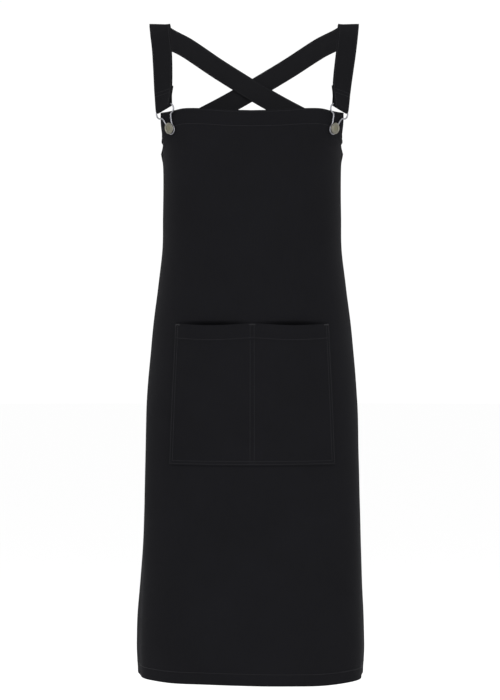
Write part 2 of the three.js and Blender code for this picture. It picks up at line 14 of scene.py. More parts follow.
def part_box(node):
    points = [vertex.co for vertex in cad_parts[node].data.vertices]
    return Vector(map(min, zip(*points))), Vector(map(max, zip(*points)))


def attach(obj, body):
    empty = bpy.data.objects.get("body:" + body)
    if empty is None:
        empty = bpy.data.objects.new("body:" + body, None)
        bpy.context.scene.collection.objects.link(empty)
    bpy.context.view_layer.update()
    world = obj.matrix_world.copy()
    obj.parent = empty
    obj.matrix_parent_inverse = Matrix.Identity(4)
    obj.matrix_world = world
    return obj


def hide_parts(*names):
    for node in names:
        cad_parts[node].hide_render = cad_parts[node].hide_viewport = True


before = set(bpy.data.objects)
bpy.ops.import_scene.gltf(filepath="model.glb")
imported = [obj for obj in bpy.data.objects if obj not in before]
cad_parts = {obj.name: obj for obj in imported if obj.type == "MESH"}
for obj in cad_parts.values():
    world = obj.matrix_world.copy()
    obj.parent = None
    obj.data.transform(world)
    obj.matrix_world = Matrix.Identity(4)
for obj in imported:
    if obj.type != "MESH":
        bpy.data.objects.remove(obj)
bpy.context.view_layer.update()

bl_info = {
    "name": "Cross back apron",
    "version": (1, 0, 0),
    "blender": (4, 5, 0),
    "location": "View3D > Sidebar > Apron",
    "description": "Makes a worn cross back apron with a patch pocket and dungaree buckles",
    "category": "Add Mesh",
}

MM = 0.001
BODY = "root"
SIDES = (("left", -1), ("right", 1))


def table(columns, *rows):
    """Rows of numbers under the names in columns."""
    return [dict(zip(columns.split(), row)) for row in rows]


# The body form: drop is a share of the apron's length, width of the body's half width, and depth and
# front of its half depth. Roundness is the power of the level's superellipse.
FORM = table(
    "drop width depth front roundness",
    (-0.080, 0.885, 0.740, 0.715, 2.30),
    (0.000, 0.890, 0.745, 0.720, 2.45),
    (0.035, 0.847, 0.755, 0.740, 2.42),
    (0.053, 0.804, 0.760, 0.750, 2.34),
    (0.077, 0.794, 0.765, 0.760, 2.26),
    (0.115, 0.789, 0.770, 0.770, 2.24),
    (0.180, 0.793, 0.775, 0.775, 2.24),
    (0.238, 0.797, 0.780, 0.780, 2.24),
    (0.300, 0.833, 0.800, 0.800, 2.24),
    (0.364, 0.875, 0.830, 0.820, 2.25),
    (0.417, 0.902, 0.855, 0.840, 2.26),
    (0.507, 0.943, 0.890, 0.865, 2.27),
    (0.597, 0.957, 0.920, 0.885, 2.28),
    (0.700, 0.967, 0.945, 0.900, 2.29),
    (0.830, 0.982, 0.975, 0.920, 2.30),
    (0.950, 1.000, 1.000, 0.935, 2.30),
    (1.000, 0.990, 0.995, 0.930, 2.30),
)

# The armhole's edge, from the bib's side to its lowest point and on to the wing's corner
ARMHOLE_FRONT = table(
    "reach fall",
    (0.00, 0.00),
    (0.30, 0.46),
    (0.62, 0.80),
    (1.00, 1.00),
)
ARMHOLE_BACK = table(
    "reach fall",
    (0.00, 1.00),
    (0.32, 0.80),
    (0.66, 0.42),
    (1.00, 0.00),
)

# A strap over the shoulder, in shares of its width, with the direction of its width
SHOULDER = table(
    "inward back up side_in side_back side_up",
    (0.13, -0.62, -1.06, 0.950, -0.32, 0.05),
    (0.03, -0.22, -0.26, 0.950, -0.30, 0.01),
    (0.00, 0.02, 0.17, 0.930, -0.20, -0.10),
    (0.03, 0.30, 0.07, 0.800, -0.18, 0.40),
    (0.14, 0.62, -0.21, 0.580, -0.06, 0.82),
)
UPPER_BACK = table(
    "across back down",
    (0.27, 0.470, 0.215),
    (0.60, 0.850, 0.565),
    (0.86, 0.996, 0.843),
)
ROUND_BACK = table(
    "across fall lift",
    (0.00, 0.000, 1.0),
    (0.11, 0.115, 1.0),
    (0.24, 0.246, 0.8),
    (0.48, 0.468, 0.3),
    (0.70, 0.678, 0.0),
    (0.86, 0.842, 0.0),
    (1.00, 1.000, 0.0),
)

# How a strap's width slants on the back, how many places its tail and its turn round the bar are drawn
# through, and how much of the shoulder's twist the tail already has
BACK_SLANT_ACROSS = 0.53
BACK_SLANT_UP = 0.85
TAIL_STATIONS = 2
BAR_STEPS = 8
TAIL_TWIST = 0.6

# Where a strap's wall is drawn in by its edge stitching: distance from the edge in millimetres, and
# share of its thickness
STRAP_SECTION = [
    (0, 0.82), (0.7, 0.96), (1.5, 0.94), (2.2, 0.84), (2.9, 0.94), (3.8, 1.0), (8, 1.0), (12, 1.0),
]

# One half of the buckle's wire: wide is a share of its shoulder, high of its reach
BUCKLE_SIDE = table(
    "wide high",
    (0.305, 0.215),
    (0.370, 0.360),
    (0.435, 0.500),
    (0.530, 0.595),
    (0.700, 0.625),
    (0.890, 0.680),
    (1.000, 0.800),
    (0.965, 0.930),
    (0.850, 1.000),
)

# Its loop round the button's shank, in degrees, and a place on the bar as a share of its shoulder
LOOP_TURNS = (90, 45, 0, -35)
BAR_KNOT = 0.4

# The cast button's face and rim: wide is a share of its radius, high of its thickness
BUTTON_CAP = table(
    "wide high",
    (0.000, 0.93),
    (0.200, 0.92),
    (0.400, 0.87),
    (0.560, 0.80),
    (0.600, 0.70),
    (0.640, 0.68),
    (0.720, 0.69),
    (0.765, 0.74),
    (0.810, 0.90),
    (0.860, 0.99),
    (0.920, 0.97),
    (0.970, 0.82),
    (1.000, 0.56),
    (0.990, 0.30),
    (0.950, 0.10),
    (0.860, 0.00),
)

# The tack on the inside, as shares of its radius and of its thickness
TACK_RIM = table(
    "wide high",
    (1.00, 0.0),
    (1.00, 0.4),
    (0.94, 0.7),
    (0.72, 0.9),
    (0.00, 1.0),
)

# The bib's top edge, drawn up by the buckles: share of its half width, and its rise in millimetres
TOP_EDGE = table(
    "share rise",
    (0.00, 2.0),
    (0.25, 3.0),
    (0.45, 5.4),
    (0.60, 6.8),
    (0.70, 6.9),
    (0.80, 4.8),
    (0.90, 3.5),
    (1.00, 3.4),
)

# How unevenly the hem hangs: place as a share of the hem's half width, and its dip in millimetres
HEM_DIP = table(
    "across dip",
    (-1.00, 1.5),
    (-0.60, 1.6),
    (-0.40, 0.8),
    (-0.22, -0.7),
    (0.00, 0.6),
    (0.18, 1.6),
    (0.34, 3.2),
    (0.55, 2.9),
    (1.00, 2.4),
)

# Soft folds in the hanging cloth: places are shares of the flat half width and of the length,
# slant is how far the fold leans outward on its way down, and height is in millimetres
FOLDS = table(
    "across top bottom width slant height",
    (-0.300, 0.640, 1.25, 0.095, -0.04, 2.2),
    (0.235, 0.660, 1.25, 0.085, 0.03, 2.0),
    (-0.050, 0.700, 1.25, 0.110, 0.00, -1.8),
    (0.500, 0.420, 1.25, 0.090, 0.05, 2.6),
    (-0.530, 0.400, 1.25, 0.085, -0.06, 2.4),
    (0.650, 0.330, 1.25, 0.070, 0.04, -2.4),
    (-0.660, 0.300, 1.25, 0.070, -0.03, -2.2),
    (0.860, 0.240, 1.25, 0.080, 0.00, 3.6),
    (-0.870, 0.220, 1.25, 0.080, -0.01, 4.0),
    (-0.760, 0.740, 1.25, 0.110, 0.00, 5.6),
    (-0.270, 0.030, 0.36, 0.050, 0.12, 1.3),
    (0.280, 0.030, 0.34, 0.050, -0.12, 1.3),
    (-0.160, 0.130, 0.40, 0.045, 0.05, -1.0),
    (0.150, 0.150, 0.39, 0.045, -0.04, -1.0),
)

# The shares of its run over which a fold rises and fades, and where on the length the hem's dip starts
FOLD_RISE = 0.35
FOLD_FADE = 0.12
DIP_START = 0.6

# The shallow unevenness of the cloth
RIPPLE_HEIGHT = 0.35 * MM
RIPPLE_GRAIN = 48 * MM
RIPPLE_SLICE = 0.37

# The pocket's open mouths, and the narrow folds along its other edges
MOUTH_POWER = 1.4
GAPE_DEPTH_SHARE = 0.625
POCKET_FOLD = 8 * MM
POCKET_FOLD_SWELL = 0.55

# Steps of the meshes, their rounded edges, and how near two points count as one
HEM_STEP = 1.5 * MM
ROW_STEP = 6.5 * MM
BROW_STEP = 1.5 * MM
POCKET_STEP = 6 * MM
EDGE_ROUND = 0.45 * MM
EDGE_ANGLE = math.radians(55)
WELD = 0.001 * MM

# Soft lights round the apron: name, place and size in metres, and power in watts
LIGHTS = [
    ("key", (-1.5, -2.7, 0.9), 1.6, 24.0),
    ("fill", (1.9, -2.5, -0.1), 2.0, 16.0),
    ("low front", (0.2, -3.2, -0.9), 1.6, 16.0),
    ("back left", (-2.2, 2.0, 0.4), 1.6, 14.0),
    ("back right", (2.2, 2.0, 0.4), 1.6, 14.0),
]
ROOM_LIGHT = 1.03

# Where painted light makes the straps lighter, in metres along the strap, and how much: it stands in for
# light that the inner faces of the straps on the back do not get
PAINTED_LIGHT_START, PAINTED_LIGHT_END, PAINTED_LIGHT_SHARE = 0.16, 0.24, 0.6

# Where a button's worn rim begins, as shares of its radius
RIM_START, RIM_END = 0.72, 0.86

# Rows and columns that the panel's flat area is summed over
AREA_ROWS = 400
AREA_COLUMNS = 200


def length_prop(name, text, millimetres):
    return bpy.props.FloatProperty(
        name=name, description=text, default=millimetres * MM, unit="LENGTH", subtype="DISTANCE", precision=4,
    )


def count_prop(name, text, count):
    return bpy.props.IntProperty(name=name, description=text, default=count, min=3)


def colour_prop(name, text, hex_code):
    return bpy.props.StringProperty(name=name, description=text, default=hex_code)


class ApronClothSizes(bpy.types.PropertyGroup):
    length: length_prop("Length", "Bib top to hem", 860)
    bib_half_width: length_prop("Bib half width", "Flat half width of the bib's top edge", 155)
    bib_side: length_prop("Bib side", "Straight side edge under the bib's corner", 28)
    bib_flare: length_prop("Bib flare", "How far the bib's side edge slants outward", 4)
    armhole_reach: length_prop("Armhole reach", "Middle front to the armhole's lowest point", 205)
    armhole_drop: length_prop("Armhole drop", "Bib top to the armhole's lowest point", 66)
    wing_reach: length_prop("Wing reach", "Middle front to the wing's corner", 268)
    wing_drop: length_prop("Wing drop", "Bib top to the wing's corner", 24)
    hem_reach: length_prop("Hem reach", "Middle front to the back edge at the hem", 350)
    cloth: length_prop("Cloth", "Thickness of the twill", 1.2)
    hem_cloth: length_prop("Hem cloth", "Thickness where the twill is folded", 2.2)
    top_hem: length_prop("Top hem", "Depth of the bib's top hem", 26)
    side_hem: length_prop("Side hem", "Width of the side hems", 9)
    bottom_hem: length_prop("Bottom hem", "Depth of the bottom hem", 20)
    bib_top_drop: length_prop("Bib top drop", "Shoulder down to the bib's top edge", 141)
    body_half_width: length_prop("Body half width", "Half width of the worn apron at its hem", 174.5)
    body_half_depth: length_prop("Body half depth", "Half depth of the worn apron at its hem", 150)
    pocket_drop: length_prop("Pocket drop", "Bib top to the pocket's mouth", 319)
    pocket_height: length_prop("Pocket height", "Height of the patch pocket", 213)
    pocket_top: length_prop("Pocket top half width", "Half width of the pocket's mouth", 123)
    pocket_bottom: length_prop("Pocket bottom half width", "Half width of the pocket's bottom", 133)
    pocket_hem: length_prop("Pocket hem", "Depth of the hem at the pocket's mouth", 24)
    pocket_gape: length_prop("Pocket gape", "How far the mouths stand open", 6)
    pocket_droop: length_prop("Pocket droop", "How far the open mouths sink", 3.5)
    pocket_dent: length_prop("Pocket dent", "How far the panel sinks in behind the mouths", 8)
    dent_brow: length_prop("Dent brow", "Height of the dent's brow over the mouth", 5)


class ApronStrapSizes(bpy.types.PropertyGroup):
    width: length_prop("Width", "Width of a strap", 32)
    thickness: length_prop("Thickness", "Thickness of a strap", 1.8)
    tail: length_prop("Tail", "End that is turned back behind the buckle's bar", 34)
    overlap: length_prop("Overlap", "End that is sewn on the wing", 44)
    half_span: length_prop("Half span", "Middle to a strap's top on the shoulder", 143.5)
    right_out: length_prop("Right out", "How much further out the right strap sits", 6.5)
    crossing_drop: length_prop("Crossing drop", "Shoulder down to where the straps cross", 82.7)
    crossing_gap: length_prop("Crossing gap", "Room between the straps where they cross", 1.7)
    wing_seat: length_prop("Wing seat", "Room between strap and body form", 1.9)
    route_step: length_prop("Route step", "Distance between the places on the way round the back", 11)


class ApronMetalSizes(bpy.types.PropertyGroup):
    wire: length_prop("Wire", "Diameter of the buckle's wire", 2.4)
    reach: length_prop("Reach", "Button to the buckle's bar", 33)
    overhang: length_prop("Overhang", "Buckle's shoulder past the strap's edge", 3.8)
    loop_radius: length_prop("Loop radius", "Radius of the loop round the button's shank", 7.4)
    loop_drop: length_prop("Loop drop", "Button's middle down to the loop's middle", 1.4)
    end_gap: length_prop("End gap", "Room between the wire's two ends", 0.8)
    button: length_prop("Button", "Diameter of a button", 17.6)
    button_inset: length_prop("Button inset", "Bib's side edge to a button's middle", 23.5)
    button_drop: length_prop("Button drop", "Bib's top level to a button's middle", 21.8)
    button_thickness: length_prop("Button thickness", "Thickness of a button's cap", 3)
    shank: length_prop("Shank", "Diameter of a button's shank", 5.6)
    pin: length_prop("Pin", "Diameter of the pin through the cloth", 3)
    tack: length_prop("Tack", "Diameter of the tack on the inside", 11)
    tack_thickness: length_prop("Tack thickness", "Thickness of the tack", 1.4)
    tack_gap: length_prop("Tack gap", "Room between tack and cloth", 0.8)
    seat_gap: length_prop("Seat gap", "Room between metal and cloth", 0.3)
    metal_gap: length_prop("Metal gap", "Room between the metal pieces", 0.35)
    lean: bpy.props.FloatProperty(
        name="Lean", description="How far a buckle leans outward at its top", default=math.radians(17.5),
        unit="ROTATION", subtype="ANGLE",
    )
    wire_steps: count_prop("Wire steps", "Pieces along a buckle's wire", 150)
    button_sides: count_prop("Button sides", "Sides round a button", 48)


class ApronSewingSizes(bpy.types.PropertyGroup):
    pitch: length_prop("Pitch", "Distance from one stitch to the next", 3.2)
    stitch: length_prop("Stitch", "Length of a stitch", 2.5)
    thread: length_prop("Thread", "Thickness of the thread", 0.5)
    edge: length_prop("Edge", "Distance of an edge stitch from its edge", 2.2)
    twin: length_prop("Twin", "Distance between two rows side by side", 6)
    seam_gap: length_prop("Seam gap", "Room between the sewn layers", 0.45)


class ApronColours(bpy.types.PropertyGroup):
    twill: colour_prop("Twill", "Colour of the panel's twill", "#0d0d0e")
    twill_light: colour_prop("Twill light", "Colour of the twill's raised threads", "#17171a")
    strap: colour_prop("Strap", "Colour of the straps", "#0e0e0e")
    # Painted light: a lighter strap colour on the shoulders and back, standing in for light that the inner
    # faces of the back straps do not get
    strap_painted_light: colour_prop("Strap faded", "Colour of the straps where they have faded", "#202022")
    thread: colour_prop("Thread", "Colour of the sewing thread", "#1e1e21")
    wire: colour_prop("Wire", "Colour of the buckles' nickel", "#8c8c91")
    button: colour_prop("Button", "Colour of the buttons' old nickel", "#72705f")
    button_rim: colour_prop("Button rim", "Colour of the worn high places", "#76746a")


class ApronStageSizes(bpy.types.PropertyGroup):
    distance: length_prop("Distance", "Camera to the apron's front", 3300)
    seen_height: length_prop("Seen height", "Height of the picture at the apron's front", 1043)
    horizon: length_prop("Horizon", "Shoulder down to the camera's height", 500)
    aside: length_prop("Aside", "How far the camera stands to the left", 3.2)
    floor_drop: length_prop("Floor drop", "Shoulder down to the floor", 1300)
    floor_radius: length_prop("Floor radius", "Radius of the pale floor", 30000)


def cloth_sizes():
    return bpy.context.scene.apron_cloth


def strap_sizes():
    return bpy.context.scene.apron_strap


def metal_sizes():
    return bpy.context.scene.apron_metal


def sewing_sizes():
    return bpy.context.scene.apron_sewing


def colours():
    return bpy.context.scene.apron_colours


# Curves and tables

def smooth(x):
    t = np.clip(x, 0.0, 1.0)
    return t * t * (3 - 2 * t)


def between(low, high, step):
    """Even places after low, up to high, at most a step apart."""
    count = max(1, math.ceil((high - low) / step))
    return [low + (high - low) * i / count for i in range(1, count + 1)]


def follow(rows, key, at, column):
    """A smooth curve through a table's rows: the column's value where the key is at."""
    last = len(rows) - 1
    x = min(rows[last][key], max(rows[0][key], at))
    i = 0
    while i < last - 1 and x > rows[i + 1][key]:
        i += 1

    def slope(j):
        before, after = rows[max(0, j - 1)], rows[min(last, j + 1)]
        return (after[column] - before[column]) / (after[key] - before[key])

    span = rows[i + 1][key] - rows[i][key]
    t = (x - rows[i][key]) / span
    rise = rows[i + 1][column] - rows[i][column]
    a = slope(i) * span - rise
    b = rise - slope(i + 1) * span
    return rows[i][column] + rise * t + t * (1 - t) * (a * (1 - t) + b * t)


def route_through(points, marks, power=0.5):
    """A smooth route through the points, at marks that count the points from 0."""
    route = []
    last = len(points) - 1
    for mark in marks:
        i = min(int(mark), last - 1)
        t = mark - i
        p1, p2 = points[i], points[i + 1]
        p0 = points[i - 1] if i > 0 else p1 * 2 - p2
        p3 = points[i + 2] if i + 2 <= last else p2 * 2 - p1
        d0, d1, d2 = (max(1e-9, step.length) ** power for step in (p1 - p0, p2 - p1, p3 - p2))
        m1 = ((p1 - p0) / d0 - (p2 - p0) / (d0 + d1) + (p2 - p1) / d1) * d1
        m2 = ((p2 - p1) / d1 - (p3 - p1) / (d1 + d2) + (p3 - p2) / d2) * d1
        route.append(
            p1 * (2 * t**3 - 3 * t**2 + 1) + m1 * (t**3 - 2 * t**2 + t)
            + p2 * (3 * t**2 - 2 * t**3) + m2 * (t**3 - t**2)
        )
    return route


class BodyForm:
    """The surface that the cloth follows, reached by lengths along the flat pattern."""

    LEVEL_STEP = 2 * MM
    REACH_STEP = 1 * MM
    OUTLINE_STEPS = 720
    NUDGE = 3 * MM
    MOST_REACH = 0.6
    MOST_LEVEL = 1.02

    def __init__(self):
        s = cloth_sizes()
        self.top = -s.bib_top_drop
        self.first = FORM[0]["drop"] * s.length
        levels = np.arange(self.first, s.length * self.MOST_LEVEL, self.LEVEL_STEP)
        reaches = np.arange(0, self.MOST_REACH, self.REACH_STEP)
        angle = np.linspace(0, math.pi, self.OUTLINE_STEPS + 1)
        sine, cosine = np.sin(angle).clip(0), np.cos(angle)
        self.x = np.zeros((len(levels), len(reaches)))
        self.y = np.zeros_like(self.x)
        self.girths = np.zeros(len(levels))
        for k, drop in enumerate(levels):
            level = drop / s.length
            half_width = s.body_half_width * follow(FORM, "drop", level, "width")
            half_depth = s.body_half_depth * follow(FORM, "drop", level, "depth")
            front = s.body_half_depth * follow(FORM, "drop", level, "front")
            power = 2 / follow(FORM, "drop", level, "roundness")
            x = half_width * sine**power
            y = half_depth - front - half_depth * np.sign(cosine) * np.abs(cosine) ** power
            reach = np.concatenate([[0], np.cumsum(np.hypot(np.diff(x), np.diff(y)))])
            self.x[k] = np.interp(reaches, reach, x)
            self.y[k] = np.interp(reaches, reach, y)
            self.girths[k] = reach[-1]

    def girth(self, drop):
        return float(self.girths[int(round((drop - self.first) / self.LEVEL_STEP))])

    def place(self, across, drop):
        row = min(max((drop - self.first) / self.LEVEL_STEP, 0), len(self.girths) - 1.001)
        column = min(abs(across) / self.REACH_STEP, self.x.shape[1] - 1.001)
        i, j = int(row), int(column)
        a, b = row - i, column - j
        found = []
        for grid in (self.x, self.y):
            upper = grid[i, j] * (1 - b) + grid[i, j + 1] * b
            lower = grid[i + 1, j] * (1 - b) + grid[i + 1, j + 1] * b
            found.append(upper * (1 - a) + lower * a)
        return Vector((math.copysign(found[0], across), found[1], self.top - drop))

    def frame(self, across, drop):
        n = self.NUDGE
        right = (self.place(across + n, drop) - self.place(across - n, drop)).normalized()
        down = (self.place(across, drop + n) - self.place(across, drop - n)).normalized()
        out = down.cross(right).normalized()
        return self.place(across, drop), right, down, out

    def at(self, across, drop, out=0.0):
        point, _, _, outward = self.frame(across, drop)
        return point + outward * out


# The cloth's relief

def mouth(across):
    """1 where the pocket's mouths stand open, 0 at their ends and at the middle seam."""
    share = min(1.0, abs(across) / cloth_sizes().pocket_top)
    return math.sin(math.pi * share) ** MOUTH_POWER


def dent(across, drop):
    """How far the panel sinks in behind the pocket's open mouths."""
    s = cloth_sizes()
    brow = smooth((drop - s.pocket_drop + s.dent_brow) / (s.dent_brow + s.pocket_droop))
    fade = 1 - smooth((drop - s.pocket_drop - s.pocket_droop) / (s.pocket_height / 2))
    return s.pocket_dent * mouth(across) * brow * fade


def folds(across, drop):
    s = cloth_sizes()
    u, v = across / s.hem_reach, drop / s.length
    total = 0.0
    for row in FOLDS:
        run = (v - row["top"]) / (row["bottom"] - row["top"])
        if run <= 0 or run >= 1:
            continue
        middle = row["across"] + row["slant"] * run
        ease = float(smooth(run / FOLD_RISE) * smooth((1 - run) / FOLD_FADE))
        total += row["height"] * MM * ease * math.exp(-(((u - middle) / row["width"]) ** 2))
    return total


def ripple(across, drop):
    """A shallow unevenness that any washed cloth has."""
    return RIPPLE_HEIGHT * noise.noise(Vector((across / RIPPLE_GRAIN, drop / RIPPLE_GRAIN, RIPPLE_SLICE)))


# Small helpers for meshes

def link_mesh(name, mesh, material):
    for polygon in mesh.polygons:
        polygon.use_smooth = True
    piece = bpy.data.objects.new(name, mesh)
    bpy.context.scene.collection.objects.link(piece)
    mesh.materials.append(material)
    return piece


def finish_mesh(name, bm, material):
    mesh = bpy.data.meshes.new(name)
    bm.to_mesh(mesh)
    bm.free()
    return link_mesh(name, mesh, material)


def grid_mesh(columns, rows, place):
    """A grid of columns by rows. place(i, j) gives a corner's point, its (u, v) and its share of the
    full thickness, or None where the cloth is cut away. Returns the mesh and the shares."""
    bm = bmesh.new()
    bmesh.ops.create_grid(bm, x_segments=columns, y_segments=rows, size=1)
    layer = bm.loops.layers.uv.new("pattern")
    flat, shares, gone = {}, {}, []
    for vert in bm.verts:
        i = round((vert.co.x + 1) / 2 * columns)
        j = round((1 - vert.co.y) / 2 * rows)
        found = place(i, j)
        if found is None:
            gone.append(vert)
        else:
            vert.co, flat[vert], shares[vert] = found
    bmesh.ops.delete(bm, geom=gone, context="VERTS")
    for face in bm.faces:
        for loop in face.loops:
            loop[layer].uv = flat[loop.vert]
    return bm, [shares[vert] for vert in bm.verts]


def add_wall(piece, thickness, offset, shares):
    """A wall on one or both sides of the surface, thinner where a corner's share says so."""
    group = piece.vertex_groups.new(name="thickness")
    for index, share in enumerate(shares):
        group.add([index], share, "REPLACE")
    modifier = piece.modifiers.new("wall", "SOLIDIFY")
    modifier.thickness = thickness
    modifier.offset = offset
    modifier.use_even_offset = False
    modifier.vertex_group = group.name


def round_edges(piece):
    modifier = piece.modifiers.new("rounded edge", "BEVEL")
    modifier.width = EDGE_ROUND
    modifier.segments = 2
    modifier.limit_method = "ANGLE"
    modifier.angle_limit = EDGE_ANGLE


# The panel's flat pattern

def armhole_drop(across):
    """The drop of the armhole's edge at a reach across the pattern."""
    s = cloth_sizes()
    edge = s.bib_half_width + s.bib_flare
    if across <= s.armhole_reach:
        share = (across - edge) / (s.armhole_reach - edge)
        fall = follow(ARMHOLE_FRONT, "reach", share, "fall")
        return s.bib_side + fall * (s.armhole_drop - s.bib_side)
    share = (across - s.armhole_reach) / (s.wing_reach - s.armhole_reach)
    return s.wing_drop + follow(ARMHOLE_BACK, "reach", share, "fall") * (s.armhole_drop - s.wing_drop)


def back_edge(drop):
    """The reach of the panel's back edge."""
    s = cloth_sizes()
    share = (drop - s.wing_drop) / (s.length - s.wing_drop)
    return s.wing_reach + share * (s.hem_reach - s.wing_reach)


def bib_edge(drop):
    """The reach of the bib's side edge."""
    s = cloth_sizes()
    return s.bib_half_width + s.bib_flare * min(1.0, max(0.0, drop / s.bib_side))


def top_edge(share):
    """The drop of the bib's top edge, below 0 where the edge is drawn up."""
    return -follow(TOP_EDGE, "share", abs(share), "rise") * MM


def hem_dip(across, drop):
    s = cloth_sizes()
    dip = follow(HEM_DIP, "across", across / s.hem_reach, "dip") * MM
    return dip * float(smooth((drop / s.length - DIP_START) / (1 - DIP_START)))


def relief(across, drop):
    """How far the panel's outer face lies off the body form."""
    return folds(across, drop) - dent(across, drop) + ripple(across, drop)


def hem_swell(distance, depth):
    """1 on a hem, falling to 0 over a short step at its inner edge."""
    return 1 - float(smooth((distance - depth) / HEM_STEP))


def wall_share(swell):
    """A wall's share of the hem's thickness, where swell is 1 on a hem and 0 on single cloth."""
    s = cloth_sizes()
    thin = s.cloth / s.hem_cloth
    return thin + (1 - thin) * swell


class PanelGrid:
    """Where the panel's grid points lie on the flat pattern.

    Columns are (kind, share) pairs: a share of the bib's half width, or of the wing's width beside it.
    """

    HALF_COLUMNS = 28
    WING_COLUMNS = 24
    HEAD_ROWS = (0, 5, 10, 15, 20)
    HEAD_STEP = 1.2

    def __init__(self):
        s = cloth_sizes()
        self.wing_width = s.wing_reach - s.bib_half_width - s.bib_flare
        half = [0.0] + self.shares(self.HALF_COLUMNS, s.bib_half_width)
        wing = self.shares(self.WING_COLUMNS, self.wing_width)
        right = [("middle", x) for x in half] + [("wing", x) for x in wing]
        self.columns = [(kind, -x) for kind, x in right[:0:-1]] + right
        self.head = [row * MM for row in self.HEAD_ROWS] + [s.top_hem, s.top_hem + self.HEAD_STEP * MM]
        top, bottom = s.bib_side, s.length - s.bottom_hem
        brow, lip = s.pocket_drop - s.dent_brow, s.pocket_drop + s.pocket_droop
        levels = [top, top + s.side_hem / 2, top + s.side_hem, top + s.side_hem + HEM_STEP]
        levels += between(levels[-1], brow, ROW_STEP)
        levels += between(brow, lip, BROW_STEP)
        levels += between(lip, bottom - HEM_STEP, ROW_STEP)
        levels += [bottom, bottom + s.bottom_hem / 3, bottom + s.bottom_hem * 2 / 3, s.length]
        self.levels = levels

    @staticmethod
    def shares(count, width):
        """Even shares of a width up to its hem, then the hem's own lines."""
        hem = cloth_sizes().side_hem
        inner = [i / count * (1 - (hem + HEM_STEP) / width) for i in range(1, count + 1)]
        return inner + [1 - hem / width, 1 - hem / 2 / width, 1]

    def place(self, i, j):
        """(across, drop) of the grid's corner, or None above the armhole."""
        s = cloth_sizes()
        kind, share = self.columns[i]
        if j < len(self.head):
            if kind == "wing":
                return None
            drop = top_edge(share) + self.head[j]
            return share * bib_edge(drop), drop
        level = self.levels[j - len(self.head)]
        edge = bib_edge(s.bib_side)
        if kind == "middle":
            return share * edge, level + hem_dip(share * edge, level)
        start = armhole_drop(edge + abs(share) * self.wing_width)
        drop = start + (level - s.bib_side) / (s.length - s.bib_side) * (s.length - start)
        across = math.copysign(edge + abs(share) * (back_edge(drop) - edge), share)
        return across, drop + hem_dip(across, drop)

    def swell(self, i, j):
        s = cloth_sizes()
        kind, share = self.columns[i]
        head = len(self.head)
        if j < head:
            side = (1 - abs(share)) * s.bib_half_width
            return max(hem_swell(self.head[j], s.top_hem), hem_swell(side, s.side_hem))
        level = self.levels[j - head]
        hems = [hem_swell(s.length - level, s.bottom_hem)]
        if kind == "wing":
            hems.append(hem_swell((1 - abs(share)) * self.wing_width, s.side_hem))
            hems.append(hem_swell(level - s.bib_side, s.side_hem))
        return max(hems)


def make_panel(form):
    panel = PanelGrid()

    def place(i, j):
        flat = panel.place(i, j)
        if flat is None:
            return None
        return form.at(*flat, relief(*flat)), flat, wall_share(panel.swell(i, j))

    rows = len(panel.head) + len(panel.levels) - 1
    bm, shares = grid_mesh(len(panel.columns) - 1, rows, place)
    piece = finish_mesh("apron_cloth", bm, twill_material())
    add_wall(piece, cloth_sizes().hem_cloth, -1, shares)
    round_edges(piece)
    return piece


# The patch pocket

def pocket_half_width(level):
    s = cloth_sizes()
    return s.pocket_top + level / s.pocket_height * (s.pocket_bottom - s.pocket_top)


def pocket_back(part, level):
    """(across, drop, out) of the pocket's back face, part from -1 to 1 and level below its mouth."""
    s = cloth_sizes()
    open_share = mouth(part * s.pocket_top) * (1 - float(smooth(level / s.pocket_height / GAPE_DEPTH_SHARE)))
    across = part * pocket_half_width(level)
    drop = s.pocket_drop + level + s.pocket_droop * open_share
    lie = folds(across, drop) + ripple(across, drop)
    return across, drop, sewing_sizes().seam_gap + s.pocket_gape * open_share + lie


def pocket_swell(part, level):
    """1 on the hem at the pocket's mouth, less on the narrow folds along its other edges."""
    s = cloth_sizes()
    edge = min((1 - abs(part)) * s.pocket_top, s.pocket_height - level)
    return max(hem_swell(level, s.pocket_hem), POCKET_FOLD_SWELL * hem_swell(edge, POCKET_FOLD))


# The pocket's columns on each side of its middle, the rows through its hem, and the step where a side
# fold ends, as a share of its half width
POCKET_COLUMNS = 28
POCKET_HEAD_ROWS = 4
FOLD_STEP_SHARE = 0.012


def make_pocket(form):
    s = cloth_sizes()
    inner = 1 - POCKET_FOLD / s.pocket_top
    half = [inner * i / POCKET_COLUMNS for i in range(POCKET_COLUMNS + 1)]
    half += [inner + FOLD_STEP_SHARE, (inner + 1) / 2, 1]
    parts = [-x for x in half[:0:-1]] + half
    hem, bottom = s.pocket_hem + HEM_STEP, s.pocket_height - POCKET_FOLD
    levels = [row * POCKET_STEP for row in range(POCKET_HEAD_ROWS)] + [s.pocket_hem, hem]
    levels += between(hem, bottom - HEM_STEP, POCKET_STEP)
    levels += [bottom, bottom + POCKET_FOLD / 2, s.pocket_height]

    def place(i, j):
        part, level = parts[i], levels[j]
        across, drop, back = pocket_back(part, level)
        return form.at(across, drop, back), (across, drop), wall_share(pocket_swell(part, level))

    bm, shares = grid_mesh(len(parts) - 1, len(levels) - 1, place)
    piece = finish_mesh("pocket_cloth", bm, twill_material())
    add_wall(piece, s.hem_cloth, 1, shares)
    round_edges(piece)
    return piece


# Buttons and buckles

def button_frame(form, side):
    s, m = cloth_sizes(), metal_sizes()
    point, right, down, out = form.frame(side * (s.bib_half_width - m.button_inset), m.button_drop)
    return point, right * -side, -down, out


def buckle_frame(form, side):
    m = metal_sizes()
    point, inner, up, out = button_frame(form, side)
    lean = m.lean
    along = inner * math.cos(lean) + up * math.sin(lean)
    rise = up * math.cos(lean) - inner * math.sin(lean)
    return point + out * (m.seat_gap + m.wire / 2), along, rise, out


